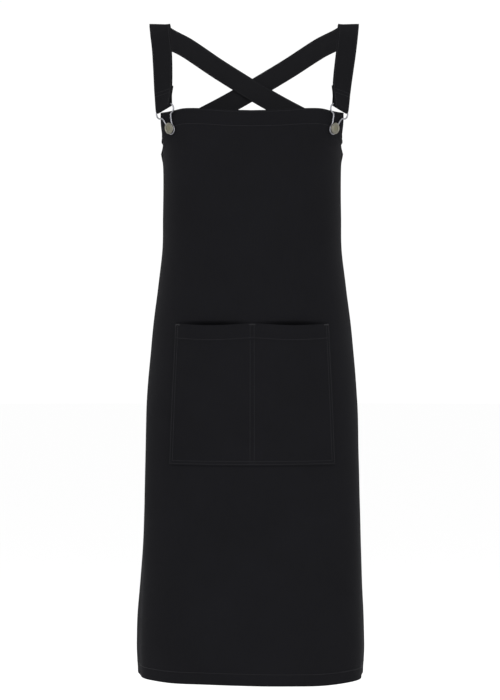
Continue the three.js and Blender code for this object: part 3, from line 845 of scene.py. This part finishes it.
def make_button(form, side, word):
    m = metal_sizes()
    point, inner, up, out = button_frame(form, side)
    cap = m.seat_gap + m.wire + m.metal_gap
    profile = [(row["wide"] * m.button / 2, cap + row["high"] * m.button_thickness) for row in BUTTON_CAP]
    tack_face = -cloth_sizes().hem_cloth - m.tack_gap
    profile += [(m.shank / 2, cap), (m.shank / 2, m.seat_gap)]
    profile += [(m.pin / 2, m.seat_gap), (m.pin / 2, tack_face)]
    profile += [(row["wide"] * m.tack / 2, tack_face - row["high"] * m.tack_thickness) for row in TACK_RIM]
    bm = bmesh.new()
    corners = [bm.verts.new((wide, 0, high)) for wide, high in profile]
    edges = [bm.edges.new(pair) for pair in zip(corners, corners[1:])]
    bmesh.ops.spin(
        bm, geom=corners + edges, cent=(0, 0, 0), axis=(0, 0, 1), dvec=(0, 0, 0),
        angle=2 * math.pi, steps=m.button_sides, use_merge=True,
    )
    bmesh.ops.remove_doubles(bm, verts=bm.verts, dist=WELD)
    across = (inner - out * inner.dot(out)).normalized()
    turn = Matrix((across, out.cross(across), out)).transposed().to_4x4()
    bmesh.ops.transform(bm, matrix=Matrix.Translation(point) @ turn, verts=bm.verts)
    bmesh.ops.recalc_face_normals(bm, faces=bm.faces)
    return finish_mesh(f"button_metal_{word}", bm, button_material(word, point))


def buckle_route(form, side):
    """The bent wire from its end in the middle of the bar, round the button and back."""
    m, strap = metal_sizes(), strap_sizes()
    middle, along, rise, _ = buckle_frame(form, side)
    half = []
    for turn in LOOP_TURNS:
        angle = math.radians(-turn)
        half.append((m.loop_radius * math.cos(angle), m.loop_radius * math.sin(angle) - m.loop_drop))
    shoulder = strap.width / 2 + m.overhang
    half += [(row["wide"] * shoulder, row["high"] * m.reach) for row in BUCKLE_SIDE]
    half += [(shoulder * BAR_KNOT, m.reach), (m.end_gap / 2, m.reach)]
    points = [(-wide, high) for wide, high in half[:0:-1]] + half
    points = [middle + along * wide + rise * high for wide, high in points]
    steps = m.wire_steps
    return route_through(points, [i * (len(points) - 1) / steps for i in range(steps + 1)])


def make_buckle(form, side, word):
    m = metal_sizes()
    curve = bpy.data.curves.new(f"wire_{word}", "CURVE")
    curve.dimensions = "3D"
    curve.bevel_depth = m.wire / 2
    curve.bevel_resolution = 4
    curve.use_fill_caps = True
    route = buckle_route(form, side)
    spline = curve.splines.new("POLY")
    spline.points.add(len(route) - 1)
    for knot, point in zip(spline.points, route):
        knot.co = (*point, 1)
    holder = bpy.data.objects.new(f"wire_{word}", curve)
    bm = bmesh.new()
    bm.from_mesh(bpy.data.meshes.new_from_object(holder))
    bmesh.ops.remove_doubles(bm, verts=bm.verts, dist=WELD)
    bmesh.ops.recalc_face_normals(bm, faces=bm.faces)
    bpy.data.objects.remove(holder)
    return finish_mesh(f"buckle_wire_{word}", bm, wire_material())


# Straps

def strap_stations(form, side):
    """(point, width direction) pairs from the tail behind the buckle's bar to the end on the wing."""
    s, st, m = cloth_sizes(), strap_sizes(), metal_sizes()
    middle, along, lean_up, _ = buckle_frame(form, side)
    bar = middle + lean_up * m.reach
    stations = []

    def add(point, width):
        stations.append((point, width.normalized()))

    over = []
    span = st.half_span + (st.right_out if side > 0 else 0)
    for row in SHOULDER:
        out = side * (span - row["inward"] * st.width)
        point = Vector((out, row["back"] * st.width, row["up"] * st.width))
        over.append((point, Vector((-side * row["side_in"], row["side_back"], row["side_up"]))))

    rise = over[0][0] - bar
    rise = (rise - along * rise.dot(along)).normalized()
    out = rise.cross(along) * side
    turn = m.wire / 2 + m.metal_gap + st.thickness / 2
    behind = turn - st.thickness - m.seat_gap
    high = along.lerp(over[0][1].normalized(), TAIL_TWIST)
    add(bar + out * behind + rise * st.tail, high)
    add(bar + out * behind + rise * st.tail / 2, along.lerp(high, 0.5))
    for i in range(BAR_STEPS + 1):
        angle = math.pi * (1 - i / BAR_STEPS)
        add(bar + out * turn * math.cos(angle) - rise * turn * math.sin(angle), along)
    add(bar + out * turn + rise * st.tail / 2, along.lerp(high, 0.5))
    add(bar + out * turn + rise * st.tail, high)
    for point, width in over:
        add(point, width)

    level = st.crossing_drop - s.bib_top_drop
    girth = form.girth(level)
    seat = st.wing_seat + st.thickness / 2
    overlift = st.thickness + st.crossing_gap if side > 0 else 0
    crossing = form.place(girth, level)
    crossing.x = 0
    crossing.y += seat + overlift
    last = over[-1][0]
    back_width = Vector((-side * BACK_SLANT_ACROSS, 0, BACK_SLANT_UP))
    for row in UPPER_BACK:
        shares = (row["across"], row["back"], row["down"])
        add(Vector([a + (b - a) * t for a, b, t in zip(last, crossing, shares)]), back_width)
    add(crossing, back_width)

    end_reach = s.wing_reach - st.overlap * BACK_SLANT_UP
    end_drop = s.wing_drop + st.width / 2 / BACK_SLANT_UP + st.overlap * BACK_SLANT_ACROSS
    steps = math.ceil((girth - end_reach) / st.route_step)
    route = []
    for i in range(1, steps + 1):
        share = i / steps
        reach = girth + (end_reach - girth) * share
        drop = level + (end_drop - level) * follow(ROUND_BACK, "across", share, "fall")
        lift = overlift * follow(ROUND_BACK, "across", share, "lift")
        point, _, _, outward = form.frame(-side * reach, drop)
        route.append((point + outward * (seat + lift), outward))
    for i, (point, outward) in enumerate(route):
        before = route[i - 1][0] if i else crossing
        after = route[min(i + 1, len(route) - 1)][0]
        add(point, (after - before).cross(outward) * -side)
    return stations


class StrapCourse:
    """A strap's middle line with its directions, reached by the distance from its tail."""

    STEP = 3.2 * MM
    NEAR = 0.001

    def __init__(self, form, side):
        stations = strap_stations(form, side)
        points = [point for point, _ in stations]
        widths = [width for _, width in stations]
        marks = [0]
        for i, (a, b) in enumerate(zip(points, points[1:])):
            steps = max(1, math.ceil((b - a).length / self.STEP))
            marks += [i + k / steps for k in range(1, steps + 1)]
        middle = route_through(points, marks)
        ahead = route_through(points, [min(mark + self.NEAR, len(points) - 1) for mark in marks])
        behind = route_through(points, [max(mark - self.NEAR, 0) for mark in marks])
        self.rows = []
        self.reach = [0.0]
        turned = route_through(widths, marks, 0)
        for i, (point, a, b, width) in enumerate(zip(middle, behind, ahead, turned)):
            along = (b - a).normalized()
            width = (width - along * width.dot(along)).normalized()
            self.rows.append((point, width, along.cross(width).normalized() * side))
            if i:
                self.reach.append(self.reach[-1] + (point - middle[i - 1]).length)
        self.length = self.reach[-1]
        self.fold = self.reach[marks.index(TAIL_STATIONS + BAR_STEPS)]

    def at(self, distance, wide, out):
        i = int(np.searchsorted(self.reach, distance)) - 1
        i = min(max(i, 0), len(self.rows) - 2)
        t = (distance - self.reach[i]) / (self.reach[i + 1] - self.reach[i])
        point, width, outward = (a.lerp(b, t) for a, b in zip(self.rows[i], self.rows[i + 1]))
        return point + width * wide + outward * out, outward


def make_strap(course, word):
    st = strap_sizes()
    half = [(x * MM - st.width / 2, share) for x, share in STRAP_SECTION]
    lines = half + [(0.0, 1.0)] + [(-x, share) for x, share in reversed(half)]

    def place(i, j):
        wide, share = lines[i]
        point, width, _ = course.rows[j]
        return point + width * wide, (wide, course.reach[j]), share

    bm, shares = grid_mesh(len(lines) - 1, len(course.rows) - 1, place)
    piece = finish_mesh(f"strap_cloth_{word}", bm, strap_material())
    add_wall(piece, st.thickness, 0, shares)
    return piece


# Sewing

class Sewing:
    """Gathers the places of many stitches, and makes them all from one rounded stitch."""

    def __init__(self):
        self.places = []

    def row(self, route, across=False, pitch=None):
        """Stitches along a route of (point, outward direction) pairs, or across it."""
        sewing = sewing_sizes()
        pitch = pitch or sewing.pitch
        reach = [0.0]
        for (a, _), (b, _) in zip(route, route[1:]):
            reach.append(reach[-1] + (b - a).length)
        count = int(reach[-1] / pitch)
        slack = (reach[-1] - count * pitch) / 2
        for k in range(count):
            distance = slack + (k + 0.5) * pitch
            i = min(max(int(np.searchsorted(reach, distance)) - 1, 0), len(route) - 2)
            t = (distance - reach[i]) / max(1e-9, reach[i + 1] - reach[i])
            (start, start_out), (end, end_out) = route[i], route[i + 1]
            point, out = start.lerp(end, t), start_out.lerp(end_out, t).normalized()
            along = end - start
            along = (along - out * along.dot(out)).normalized()
            side = out.cross(along)
            if across:
                along, side = side, -along
            thick = sewing.thread / 2
            self.places.append((point, side * thick, out * thick, along * sewing.stitch / 2))

    def finish(self, name):
        """One mesh of all the stitches: copies of a round stitch, each stretched to its place."""
        stitch = bmesh.new()
        bmesh.ops.create_uvsphere(stitch, u_segments=6, v_segments=4, radius=1)
        corners = np.array([vert.co for vert in stitch.verts])
        mesh = bpy.data.meshes.new(name)
        stitch.to_mesh(mesh)
        stitch.free()
        bm = bmesh.new()
        for _ in self.places:
            bm.from_mesh(mesh, face_normals=False, vertex_normals=False)
        bm.to_mesh(mesh)
        bm.free()
        places = np.array(self.places)
        points = places[:, None, 0] + np.einsum("vk,pkc->pvc", corners, places[:, 1:])
        mesh.vertices.foreach_set("co", points.astype(np.float32).ravel())
        mesh.update()
        return link_mesh(name, mesh, thread_material())


def traced(corners, place, step):
    """A finely stepped route through the corners, each step put on the cloth by place(a, b)."""
    route = []
    for k, ((a0, b0), (a1, b1)) in enumerate(zip(corners, corners[1:])):
        count = max(1, math.ceil(math.hypot(a1 - a0, b1 - b0) / step))
        for i in range(0 if k == 0 else 1, count + 1):
            t = i / count
            route.append(place(a0 + (a1 - a0) * t, b0 + (b1 - b0) * t))
    return route


def thread_lift():
    """How far the middle of a stitch lies off the cloth, so that it sinks in a little."""
    return sewing_sizes().thread / 5


# How far rows of stitches stop short of an edge, the points that curved rows go through, how much an
# armhole's row cuts its corners, and how near the pocket's outer rows lie as a share of a twin row
TOP_ROW_END, HEM_ROW_END, BACK_ROW_END, POCKET_ROW_END = 1.5 * MM, 2 * MM, 3 * MM, 1.5 * MM
TOP_POINTS, HEM_POINTS, ARM_POINTS, BACK_POINTS = 61, 60, 31, 40
CORNER_CUT = 0.4
NEAR_TWIN = 0.7
TRACE_STEP, STRAP_TRACE_STEP, SHORT_TRACE_STEP = 4 * MM, 3 * MM, 2 * MM


def panel_stitches(form):
    s, sewing = cloth_sizes(), sewing_sizes()
    seams = Sewing()
    line = s.side_hem - sewing.edge
    edge = bib_edge(s.bib_side)
    wing_width = s.wing_reach - edge

    def on_panel(across, drop):
        point, _, _, out = form.frame(across, drop)
        return point + out * (relief(across, drop) + thread_lift()), out

    def top_row(depth):
        shares = np.linspace(-1, 1, TOP_POINTS)
        return [(share * (bib_edge(depth) - TOP_ROW_END), top_edge(share) + depth) for share in shares]

    rows = [top_row(sewing.edge), top_row(s.top_hem - sewing.edge)]
    hem_half = back_edge(s.length - s.bottom_hem) - HEM_ROW_END
    hem_drop = s.length - s.bottom_hem + sewing.edge
    places = np.linspace(-hem_half, hem_half, HEM_POINTS)
    rows.append([(across, hem_drop + hem_dip(across, hem_drop)) for across in places])
    for sign in (-1, 1):
        round_arm = [(sign * (bib_edge(0) - line), top_edge(1) + HEM_ROW_END)]
        round_arm.append((sign * (edge - line), s.bib_side + line * (1 - CORNER_CUT)))
        for i in range(ARM_POINTS):
            reach = wing_width - line * (1 - CORNER_CUT)
            across = edge - line * CORNER_CUT + reach * i / (ARM_POINTS - 1)
            start = armhole_drop(max(edge, across))
            drop = start + line / (s.length - s.bib_side) * (s.length - start)
            round_arm.append((sign * across, drop))
        rows.append(round_arm)
        drops = np.linspace(s.wing_drop + line, s.length - BACK_ROW_END, BACK_POINTS)
        rows.append([(sign * (back_edge(drop) - line), drop) for drop in drops])
    for corners in rows:
        seams.row(traced(corners, on_panel, TRACE_STEP))
    return seams.finish("stitches_panel")


# The bar tacks at the ends of the pocket's mouths
TACK_LENGTH = 10 * MM
TACK_INSET = 1.2 * MM
TACK_DEPTH = 1.8 * MM
TACK_PITCH = 0.7 * MM


def pocket_stitches(form):
    s, sewing = cloth_sizes(), sewing_sizes()
    seams = Sewing()

    def on_pocket(wide, level):
        part = wide / s.pocket_top
        across, drop, back = pocket_back(part, level)
        _, _, _, out = form.frame(across, drop)
        lift = back + s.hem_cloth * wall_share(pocket_swell(part, level)) + thread_lift()
        return form.at(across, drop, lift), out

    top, half = POCKET_ROW_END, s.pocket_top
    hem = s.pocket_hem - sewing.edge
    rows = [[(MM - half, hem), (half - MM, hem)]]
    for distance in (sewing.edge, sewing.edge + sewing.twin * NEAR_TWIN):
        side, low = half - distance, s.pocket_height - distance
        rows.append([(-side, top), (-side, low), (side, low), (side, top)])
    twin = sewing.twin / 2
    rows += [[(sign * twin, top), (sign * twin, s.pocket_height - top)] for sign in (-1, 1)]
    for corners in rows:
        seams.row(traced(corners, on_pocket, TRACE_STEP))
    for start in (TACK_INSET - half, -TACK_LENGTH / 2, half - TACK_INSET - TACK_LENGTH):
        corners = [(start, TACK_DEPTH), (start + TACK_LENGTH, TACK_DEPTH)]
        seams.row(traced(corners, on_pocket, MM), True, TACK_PITCH)
    return seams.finish("stitches_pocket")


# How high a strap's edge rows lie on its wall, and how its sewn box stands in from the overlap's edges
EDGE_ROW_HEIGHT = 0.86
BOX_START = 10 * MM
BOX_INSET = 2.5 * MM


def strap_stitches(course, word):
    st, sewing = strap_sizes(), sewing_sizes()
    seams = Sewing()
    half = st.width / 2
    rim = half - sewing.edge
    face = st.thickness / 2 * EDGE_ROW_HEIGHT + thread_lift()
    middle = st.thickness / 2 + thread_lift()

    def on_face(sign, lift):
        def place(distance, wide):
            point, out = course.at(distance, wide, sign * lift)
            return point, out * sign
        return place

    for sign in (-1, 1):
        for edge in (-rim, rim):
            corners = [(HEM_ROW_END, edge), (course.length - HEM_ROW_END, edge)]
            seams.row(traced(corners, on_face(sign, face), STRAP_TRACE_STEP))
    front = course.fold + st.tail
    for distance in (front - sewing.twin, front - 2 * sewing.twin):
        seams.row(traced([(distance, -rim), (distance, rim)], on_face(1, middle), SHORT_TRACE_STEP))
    # The box with a cross that holds the strap's end on the wing
    end = course.length - BACK_ROW_END
    start = end - st.overlap + BOX_START
    low = rim - BOX_INSET
    box = [(start, -low), (start, low), (end, low), (end, -low), (start, -low), (end, low)]
    for corners in (box, [(start, low), (end, -low)]):
        seams.row(traced(corners, on_face(1, middle), SHORT_TRACE_STEP))
    return seams.finish(f"stitches_strap_{word}")


# Materials

# Real sizes that the patterns are worked out from
FIBRE = 0.9 * MM
SLUB_WIDTH, SLUB_LENGTH = 1.3 * MM, 30 * MM
WEAR_PATCH = 110 * MM
THREAD_PLY = 0.4 * MM
METAL_SPOT = 2.5 * MM
METAL_SCRATCH = 0.3 * MM


def linear(hex_code):
    """A colour code as the eye sees it, turned into amounts of light."""
    parts = [int(hex_code.lstrip("#")[i:i + 2], 16) / 255 for i in (0, 2, 4)]
    return [p / 12.92 if p <= 0.04045 else ((p + 0.055) / 1.055) ** 2.4 for p in parts] + [1.0]


def new_material(name):
    """A material with its add-node helper, its surface and its node tree.

    The helper takes a socket by its name, or as i0, i1 and so on where names repeat.
    """
    material = bpy.data.materials.new(name)
    material.use_nodes = True
    tree = material.node_tree
    tree.nodes.clear()

    def add(kind, settings=None, **inputs):
        node = tree.nodes.new(kind)
        for key, value in (settings or {}).items():
            setattr(node, key, value)
        for key, value in inputs.items():
            numbered = key[0] == "i" and key[1:].isdigit()
            socket = node.inputs[int(key[1:]) if numbered else key.replace("_", " ")]
            if isinstance(value, bpy.types.NodeSocket):
                tree.links.new(value, socket)
            else:
                socket.default_value = value
        return node

    surface = add("ShaderNodeBsdfPrincipled")
    output = add("ShaderNodeOutputMaterial")
    tree.links.new(surface.outputs[0], output.inputs["Surface"])
    return material, add, surface, tree


def set_inputs(node, **values):
    for key, value in values.items():
        node.inputs[key.replace("_", " ")].default_value = value


def cloth_material(name, dark, light, wale, soften, seed, painted_light=None):
    """Woven cotton: slanted ribs one wale apart, lint that catches light, and uneven wear."""
    if name in bpy.data.materials:
        return bpy.data.materials[name]
    material, add, surface, tree = new_material(name)
    flat = add("ShaderNodeUVMap", {"uv_map": "pattern"}).outputs[0]
    # The sine of a wave node repeats each pi / 5 of its input
    per_metre = math.pi / 5 / wale
    turn = add("ShaderNodeMapping", Vector=flat, Rotation=(0, 0, math.radians(18))).outputs[0]
    ribs = add(
        "ShaderNodeTexWave", {"bands_direction": "DIAGONAL"},
        Vector=turn, Scale=per_metre, Distortion=0.6, Detail=1.0, Detail_Scale=2.0,
    ).outputs["Fac"]
    fibres = add("ShaderNodeTexNoise", Vector=flat, Scale=1 / FIBRE, Detail=3.0).outputs["Fac"]
    patches = seed + 1 / WEAR_PATCH
    wear = add("ShaderNodeTexNoise", Vector=flat, Scale=patches, Detail=4.0, Roughness=0.62).outputs["Fac"]
    streaks = add("ShaderNodeMapping", Vector=flat, Scale=(1 / SLUB_WIDTH, 1 / SLUB_LENGTH, 1)).outputs[0]
    slub = add("ShaderNodeTexNoise", Vector=streaks, Scale=1.0, Detail=2.0).outputs["Fac"]
    height = add("ShaderNodeMath", {"operation": "MULTIPLY_ADD"}, i0=fibres, i1=0.55, i2=ribs).outputs[0]
    bump = add("ShaderNodeBump", Strength=0.55, Distance=0.12 * MM, Height=height).outputs[0]
    mix = 0.0
    for layer, weight in ((ribs, 0.35), (wear, 0.45), (slub, 0.3)):
        total = add("ShaderNodeMath", {"operation": "MULTIPLY_ADD"}, i0=layer, i1=weight, i2=mix)
        mix = total.outputs[0]
    total.use_clamp = True
    shade = add("ShaderNodeMix", {"data_type": "RGBA"}, i0=mix, i6=linear(dark), i7=linear(light)).outputs[2]
    # Painted light: from a place along the strap onward the colour turns lighter, standing in for light that
    # the inner faces of the back straps do not get
    if painted_light:
        far = add("ShaderNodeSeparateXYZ", Vector=flat).outputs["Y"]
        share = add(
            "ShaderNodeMapRange", {"interpolation_type": "SMOOTHSTEP"},
            i0=far, i1=PAINTED_LIGHT_START, i2=PAINTED_LIGHT_END, i4=PAINTED_LIGHT_SHARE,
        ).outputs[0]
        shade = add("ShaderNodeMix", {"data_type": "RGBA"}, i0=share, i6=shade, i7=linear(painted_light)).outputs[2]
    tree.links.new(shade, surface.inputs["Base Color"])
    tree.links.new(bump, surface.inputs["Normal"])
    set_inputs(
        surface, Roughness=0.88, Specular_IOR_Level=0.03,
        Sheen_Weight=soften, Sheen_Roughness=0.4, Sheen_Tint=linear("#c8c8d2"),
    )
    return material


def twill_material():
    # Black cotton twill, washed to a soft, dull black with a little lint. Real ribs are finer: they are
    # drawn 1.2 mm apart so that they show
    return cloth_material("black cotton twill", colours().twill, colours().twill_light, 1.2 * MM, 0.010, 0.0)


def strap_material():
    # The same yarn in a denser band, so darker and flatter, with painted light that makes it lighter where it
    # lies on the shoulders and back, standing in for light that its inner faces there do not get
    c = colours()
    return cloth_material("black cotton strap", c.strap, c.twill_light, 0.9 * MM, 0.008, 3.0, c.strap_painted_light)


def thread_material():
    """Polyester sewing thread, smoother and a little lighter than the cloth, so that each stitch shows."""
    if "black sewing thread" in bpy.data.materials:
        return bpy.data.materials["black sewing thread"]
    material, add, surface, tree = new_material("black sewing thread")
    place = add("ShaderNodeTexCoord").outputs["Object"]
    grain = add("ShaderNodeTexNoise", Vector=place, Scale=1 / THREAD_PLY, Detail=1.0).outputs["Fac"]
    bump = add("ShaderNodeBump", Strength=0.3, Distance=0.05 * MM, Height=grain).outputs[0]
    tree.links.new(bump, surface.inputs["Normal"])
    set_inputs(surface, Base_Color=linear(colours().thread), Roughness=0.55, Specular_IOR_Level=0.3)
    return material


def metal_material(name, base, roughness, worn=None, centre=None, radius=None):
    """Plated metal with fine scratches; a button's rim is worn brighter than the face round its centre."""
    if name in bpy.data.materials:
        return bpy.data.materials[name]
    material, add, surface, tree = new_material(name)
    place = add("ShaderNodeTexCoord").outputs["Object"]
    spots = add(
        "ShaderNodeTexNoise", Vector=place, Scale=1 / METAL_SPOT, Detail=4.0, Roughness=0.65,
    ).outputs["Fac"]
    fine = add("ShaderNodeTexNoise", Vector=place, Scale=1 / METAL_SCRATCH, Detail=2.0).outputs["Fac"]
    low = roughness - 0.11
    rough = add("ShaderNodeMath", {"operation": "MULTIPLY_ADD"}, i0=spots, i1=0.22, i2=low).outputs[0]
    tree.links.new(rough, surface.inputs["Roughness"])
    bump = add("ShaderNodeBump", Strength=0.12, Distance=0.03 * MM, Height=fine).outputs[0]
    tree.links.new(bump, surface.inputs["Normal"])
    set_inputs(surface, Metallic=1.0, Base_Color=linear(base))
    if worn:
        away = add("ShaderNodeVectorMath", {"operation": "DISTANCE"}, i0=place, i1=tuple(centre))
        share = add(
            "ShaderNodeMapRange", {"interpolation_type": "SMOOTHSTEP"},
            i0=away.outputs["Value"], i1=RIM_START * radius, i2=RIM_END * radius,
        ).outputs[0]
        tone = add("ShaderNodeMix", {"data_type": "RGBA"}, i0=share, i6=linear(base), i7=linear(worn))
        tree.links.new(tone.outputs[2], surface.inputs["Base Color"])
    return material


def wire_material():
    # Nickel plate on bent steel wire, which gives a bright and fairly sharp shine
    return metal_material("nickel plated wire", colours().wire, 0.3)


def button_material(word, centre):
    # Old nickel plate on a cast button, yellowed and dull, worn lighter on the raised rim
    name, radius = f"old nickel button {word}", metal_sizes().button / 2
    return metal_material(name, colours().button, 0.42, colours().button_rim, centre, radius)


# Stage

def make_stage():
    stage = bpy.context.scene.apron_stage
    cloth = cloth_sizes()
    scene = bpy.context.scene
    world = bpy.data.worlds.new("soft white room")
    world.use_nodes = True
    back = world.node_tree.nodes["Background"]
    set_inputs(back, Color=(1, 1, 1, 1), Strength=ROOM_LIGHT)
    scene.world = world
    scene.view_settings.view_transform = "Standard"

    bm = bmesh.new()
    bmesh.ops.create_circle(
        bm, cap_ends=True, segments=96, radius=stage.floor_radius,
        matrix=Matrix.Translation((0, 0, -stage.floor_drop)),
    )
    bmesh.ops.recalc_face_normals(bm, faces=bm.faces)
    material, _, surface, _ = new_material("pale matt floor")
    set_inputs(surface, Base_Color=linear("#fafafa"), Roughness=1.0, Specular_IOR_Level=0.0)
    floor = finish_mesh("floor", bm, material)

    middle = Vector((0, 0, -cloth.bib_top_drop - cloth.length / 2))
    for name, place, size, power in LIGHTS:
        light = bpy.data.lights.new(name, "AREA")
        light.shape = "DISK"
        light.size = size
        light.energy = power
        holder = bpy.data.objects.new(name, light)
        scene.collection.objects.link(holder)
        holder.matrix_world = aimed(Vector(place), middle)

    camera = bpy.data.cameras.new("camera")
    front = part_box("apron_panel")[0][1]
    camera.sensor_fit = "VERTICAL"
    camera.lens = camera.sensor_height * stage.distance / stage.seen_height
    holder = bpy.data.objects.new("camera", camera)
    scene.collection.objects.link(holder)
    eye = Vector((-stage.aside, front - stage.distance, -stage.horizon))
    holder.matrix_world = aimed(eye, eye + Vector((0, 1, 0)))
    scene.camera = holder


def aimed(place, target):
    return Matrix.Translation(place) @ (target - place).to_track_quat("-Z", "Y").to_matrix().to_4x4()


# Add-on

def stand_for(piece, slot, *nodes):
    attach(piece, BODY)
    if nodes:
        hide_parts(*nodes)
    return piece


def panel_area():
    """The panel's flat area, less what is cut away above the armholes."""
    s = cloth_sizes()
    total = 0.0
    for i in range(AREA_ROWS):
        drop = s.length * (i + 0.5) / AREA_ROWS
        half = bib_edge(drop)
        if drop >= s.bib_side:
            reaches = np.linspace(half, back_edge(max(drop, s.wing_drop)), AREA_COLUMNS)
            kept = sum(1 for x in reaches if armhole_drop(min(x, s.wing_reach)) <= drop)
            half += kept / AREA_COLUMNS * (reaches[-1] - half)
        total += 2 * half * s.length / AREA_ROWS
    return total


class APRON_OT_panel(bpy.types.Operator):
    """Make the panel with its bib, wings and skirt"""
    bl_idname = "apron.panel"
    bl_label = "Panel"

    def execute(self, context):
        form = BodyForm()
        piece = stand_for(make_panel(form), "cloth", "apron_panel")
        stitches = stand_for(panel_stitches(form), "cloth")
        panel_area()
        return {"FINISHED"}


class APRON_OT_pocket(bpy.types.Operator):
    """Make the patch pocket"""
    bl_idname = "apron.pocket"
    bl_label = "Pocket"

    def execute(self, context):
        form = BodyForm()
        piece = stand_for(make_pocket(form), "cloth", "pocket")
        stitches = stand_for(pocket_stitches(form), "cloth")
        return {"FINISHED"}


class APRON_OT_straps(bpy.types.Operator):
    """Make the two straps that cross on the back"""
    bl_idname = "apron.straps"
    bl_label = "Straps"

    def execute(self, context):
        form = BodyForm()
        for word, side in SIDES:
            course = StrapCourse(form, side)
            piece = stand_for(make_strap(course, word), "strap", f"strap_{word}")
            stitches = stand_for(strap_stitches(course, word), "strap")
        return {"FINISHED"}


class APRON_OT_metal(bpy.types.Operator):
    """Make the buckles and the buttons that they hook on"""
    bl_idname = "apron.metal"
    bl_label = "Buckles and buttons"

    def execute(self, context):
        form = BodyForm()
        for word, side in SIDES:
            stand_for(make_buckle(form, side, word), "wire", f"buckle_{word}")
            stand_for(make_button(form, side, word), "button", f"button_{word}")
        return {"FINISHED"}


class APRON_OT_stage(bpy.types.Operator):
    """Set up the floor, the light and the camera"""
    bl_idname = "apron.stage"
    bl_label = "Stage"

    def execute(self, context):
        make_stage()
        return {"FINISHED"}


class VIEW3D_PT_apron(bpy.types.Panel):
    """The apron's sizes and the steps that make it"""
    bl_idname = "VIEW3D_PT_apron"
    bl_label = "Cross back apron"
    bl_space_type = "VIEW_3D"
    bl_region_type = "UI"
    bl_category = "Apron"

    def draw(self, context):
        for name in GROUPS:
            group = getattr(context.scene, name)
            column = self.layout.column(align=True)
            for key in group.__annotations__:
                column.prop(group, key)
        for step in STEPS:
            self.layout.operator(step.bl_idname)


GROUPS = {
    "apron_cloth": ApronClothSizes,
    "apron_strap": ApronStrapSizes,
    "apron_metal": ApronMetalSizes,
    "apron_sewing": ApronSewingSizes,
    "apron_colours": ApronColours,
    "apron_stage": ApronStageSizes,
}
STEPS = (APRON_OT_metal, APRON_OT_panel, APRON_OT_pocket, APRON_OT_straps, APRON_OT_stage)


def register():
    for cls in (*GROUPS.values(), *STEPS, VIEW3D_PT_apron):
        bpy.utils.register_class(cls)
    for name, cls in GROUPS.items():
        setattr(bpy.types.Scene, name, bpy.props.PointerProperty(type=cls))


def unregister():
    for name in GROUPS:
        delattr(bpy.types.Scene, name)
    for cls in reversed((*GROUPS.values(), *STEPS, VIEW3D_PT_apron)):
        bpy.utils.unregister_class(cls)


def main():
    register()
    bpy.ops.apron.metal()
    bpy.ops.apron.panel()
    bpy.ops.apron.pocket()
    bpy.ops.apron.straps()
    bpy.ops.apron.stage()


if __name__ == "__main__":
    main()
